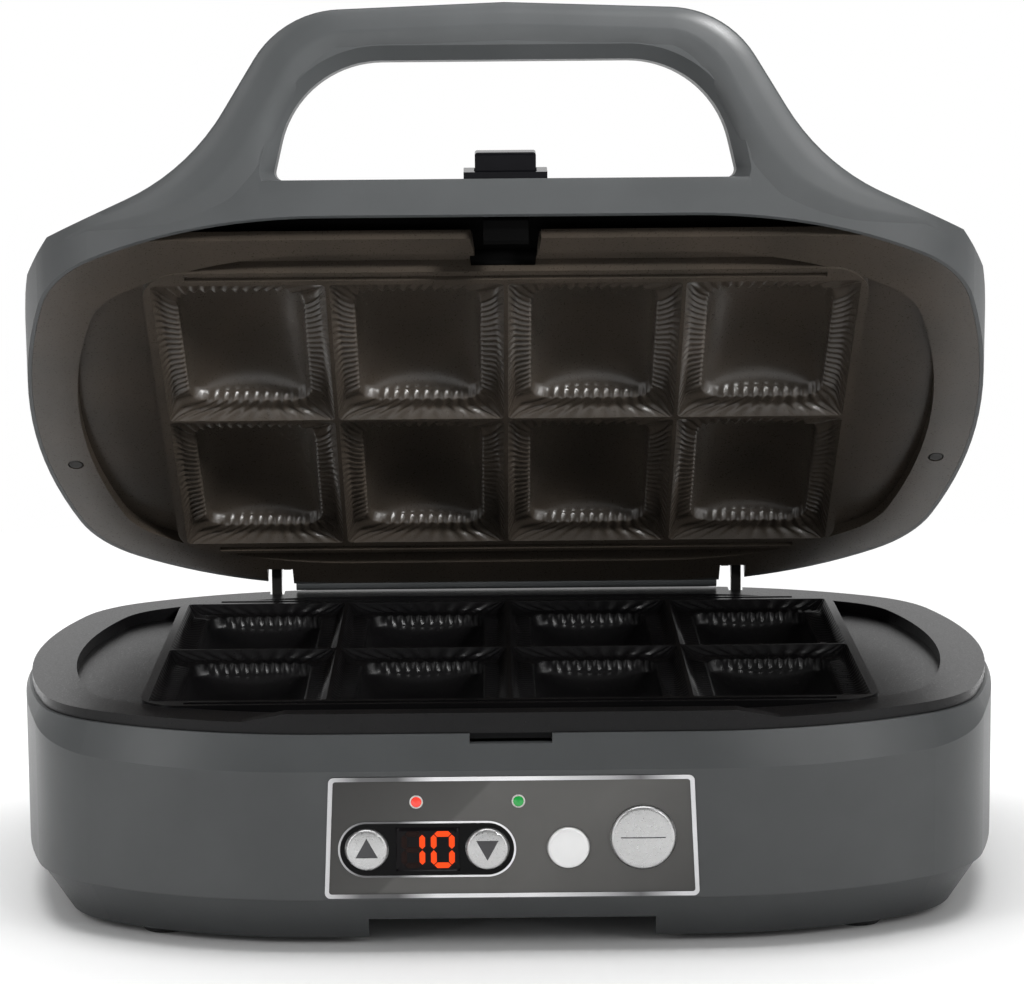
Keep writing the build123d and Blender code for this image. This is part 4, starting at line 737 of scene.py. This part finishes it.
def white_paper():
    """Matt white paper that the camera sees fading into the background."""
    paper = bpy.data.materials.new("white_paper")
    paper.use_nodes = True
    tree = paper.node_tree
    shader = tree.nodes["Principled BSDF"]
    shader.inputs["Base Color"].default_value = (PAPER_GREY, PAPER_GREY, PAPER_GREY, 1)
    shader.inputs["Roughness"].default_value = PAPER_ROUGH
    far = tree.nodes.new("ShaderNodeVectorMath")
    far.operation = "LENGTH"
    link(tree, object_place(tree), far.inputs[0])
    both = tree.nodes.new("ShaderNodeMath")
    both.operation = "MULTIPLY"
    link(tree, span(tree, far.outputs["Value"], 0, 1, FADE_NEAR, FADE_FAR), both.inputs[0])
    link(tree, camera_ray(tree), both.inputs[1])
    glowing = tree.nodes.new("ShaderNodeEmission")
    mix_shaders(tree, both.outputs[0], shader.outputs[0], glowing.outputs[0],
                tree.nodes["Material Output"].inputs["Surface"])
    return paper


def studio_world():
    """White where the camera sees it, and a room that gets brighter to the back for every other ray."""
    world = bpy.data.worlds.new("studio")
    world.use_nodes = True
    tree = world.node_tree
    seen = tree.nodes["Background"]
    seen.inputs["Color"].default_value = (1, 1, 1, 1)
    seen.inputs["Strength"].default_value = 1.0
    room = tree.nodes.new("ShaderNodeBackground")
    room.inputs["Color"].default_value = (1, 1, 1, 1)
    facing = along_direction(tree, tree.nodes.new("ShaderNodeTexCoord").outputs["Generated"], ROOM_DIRECTION)
    link(tree, span(tree, facing, ROOM_DIM, ROOM_BRIGHT, ROOM_DIM_AT, ROOM_BRIGHT_AT), room.inputs["Strength"])
    mix_shaders(tree, camera_ray(tree), room.outputs[0], seen.outputs[0],
                tree.nodes["World Output"].inputs["Surface"])
    return world


floor_mesh = bpy.data.meshes.new("floor")
corners = [(x * FLOOR_HALF, y * FLOOR_HALF, 0) for x, y in ((-1, -1), (1, -1), (1, 1), (-1, 1))]
floor_mesh.from_pydata(corners, [], [(0, 1, 2, 3)])
floor_mesh.materials.append(white_paper())
floor = bpy.data.objects.new("floor", floor_mesh)
bpy.context.scene.collection.objects.link(floor)
bpy.context.scene.world = studio_world()


# ---------------------------------------------------------------- lights and camera

# softboxes: name, size (across, up), watts, place and aim, in metres
SOFTBOXES = [
    ("overhead", (1.4, 1.0), 22, (0, 0.1, 1.5), (0, 0, 0.1)),
    ("left_box", (0.18, 1.2), 4.2, (-1.15, -0.85, 0.6), (0, 0, 0.12)),
    ("right_box", (0.18, 1.2), 4.6, (1.15, -0.85, 0.6), (0, 0, 0.12)),
    ("back_strip", (2.4, 1.0), 1.5, (0, 1.7, 1.0), (0, 0, 0.08)),
]
# a spot on the front of the handle
SPOT_WATTS, SPOT_CONE, SPOT_SOFT = 170, math.radians(17), 0.15
SPOT_PLACE, SPOT_AIM = (0.75, -1.15, 0.95), (0.02, -0.08, 0.345)

# the photo's camera, fitted to the corners and edges of the object
LENS, SENSOR = 125.93, 36
EYE = Vector((-6.56, -1341.87, 360.03)) * MM
RIGHT = Vector((0.99993828, -0.00759848, -0.00810605))
UP = Vector((0.00922129, 0.1605881, 0.98697843))
BACK = -Vector((0.0061978, 0.98699226, -0.16064826))


def light(data, place, aim):
    """Stands a light at a place, facing its aim."""
    lamp = bpy.data.objects.new(data.name, data)
    bpy.context.scene.collection.objects.link(lamp)
    lamp.location = place
    lamp.rotation_euler = (Vector(aim) - Vector(place)).to_track_quat("-Z", "Y").to_euler()


for name, size, watts, place, aim in SOFTBOXES:
    box = bpy.data.lights.new(name, "AREA")
    box.shape = "RECTANGLE"
    box.size, box.size_y = size
    box.energy = watts
    light(box, place, aim)
beam = bpy.data.lights.new("handle_spot", "SPOT")
beam.energy = SPOT_WATTS
beam.spot_size = SPOT_CONE
beam.spot_blend = 1.0
beam.shadow_soft_size = SPOT_SOFT
light(beam, SPOT_PLACE, SPOT_AIM)

camera_data = bpy.data.cameras.new("camera")
camera_data.lens = LENS
camera_data.sensor_width = SENSOR
camera_data.clip_start = 0.01
camera = bpy.data.objects.new("camera", camera_data)
bpy.context.scene.collection.objects.link(camera)
camera.matrix_world = Matrix.Translation(EYE) @ Matrix((RIGHT, UP, BACK)).transposed().to_4x4()
bpy.context.scene.camera = camera
bpy.context.scene.view_settings.view_transform = "Standard"
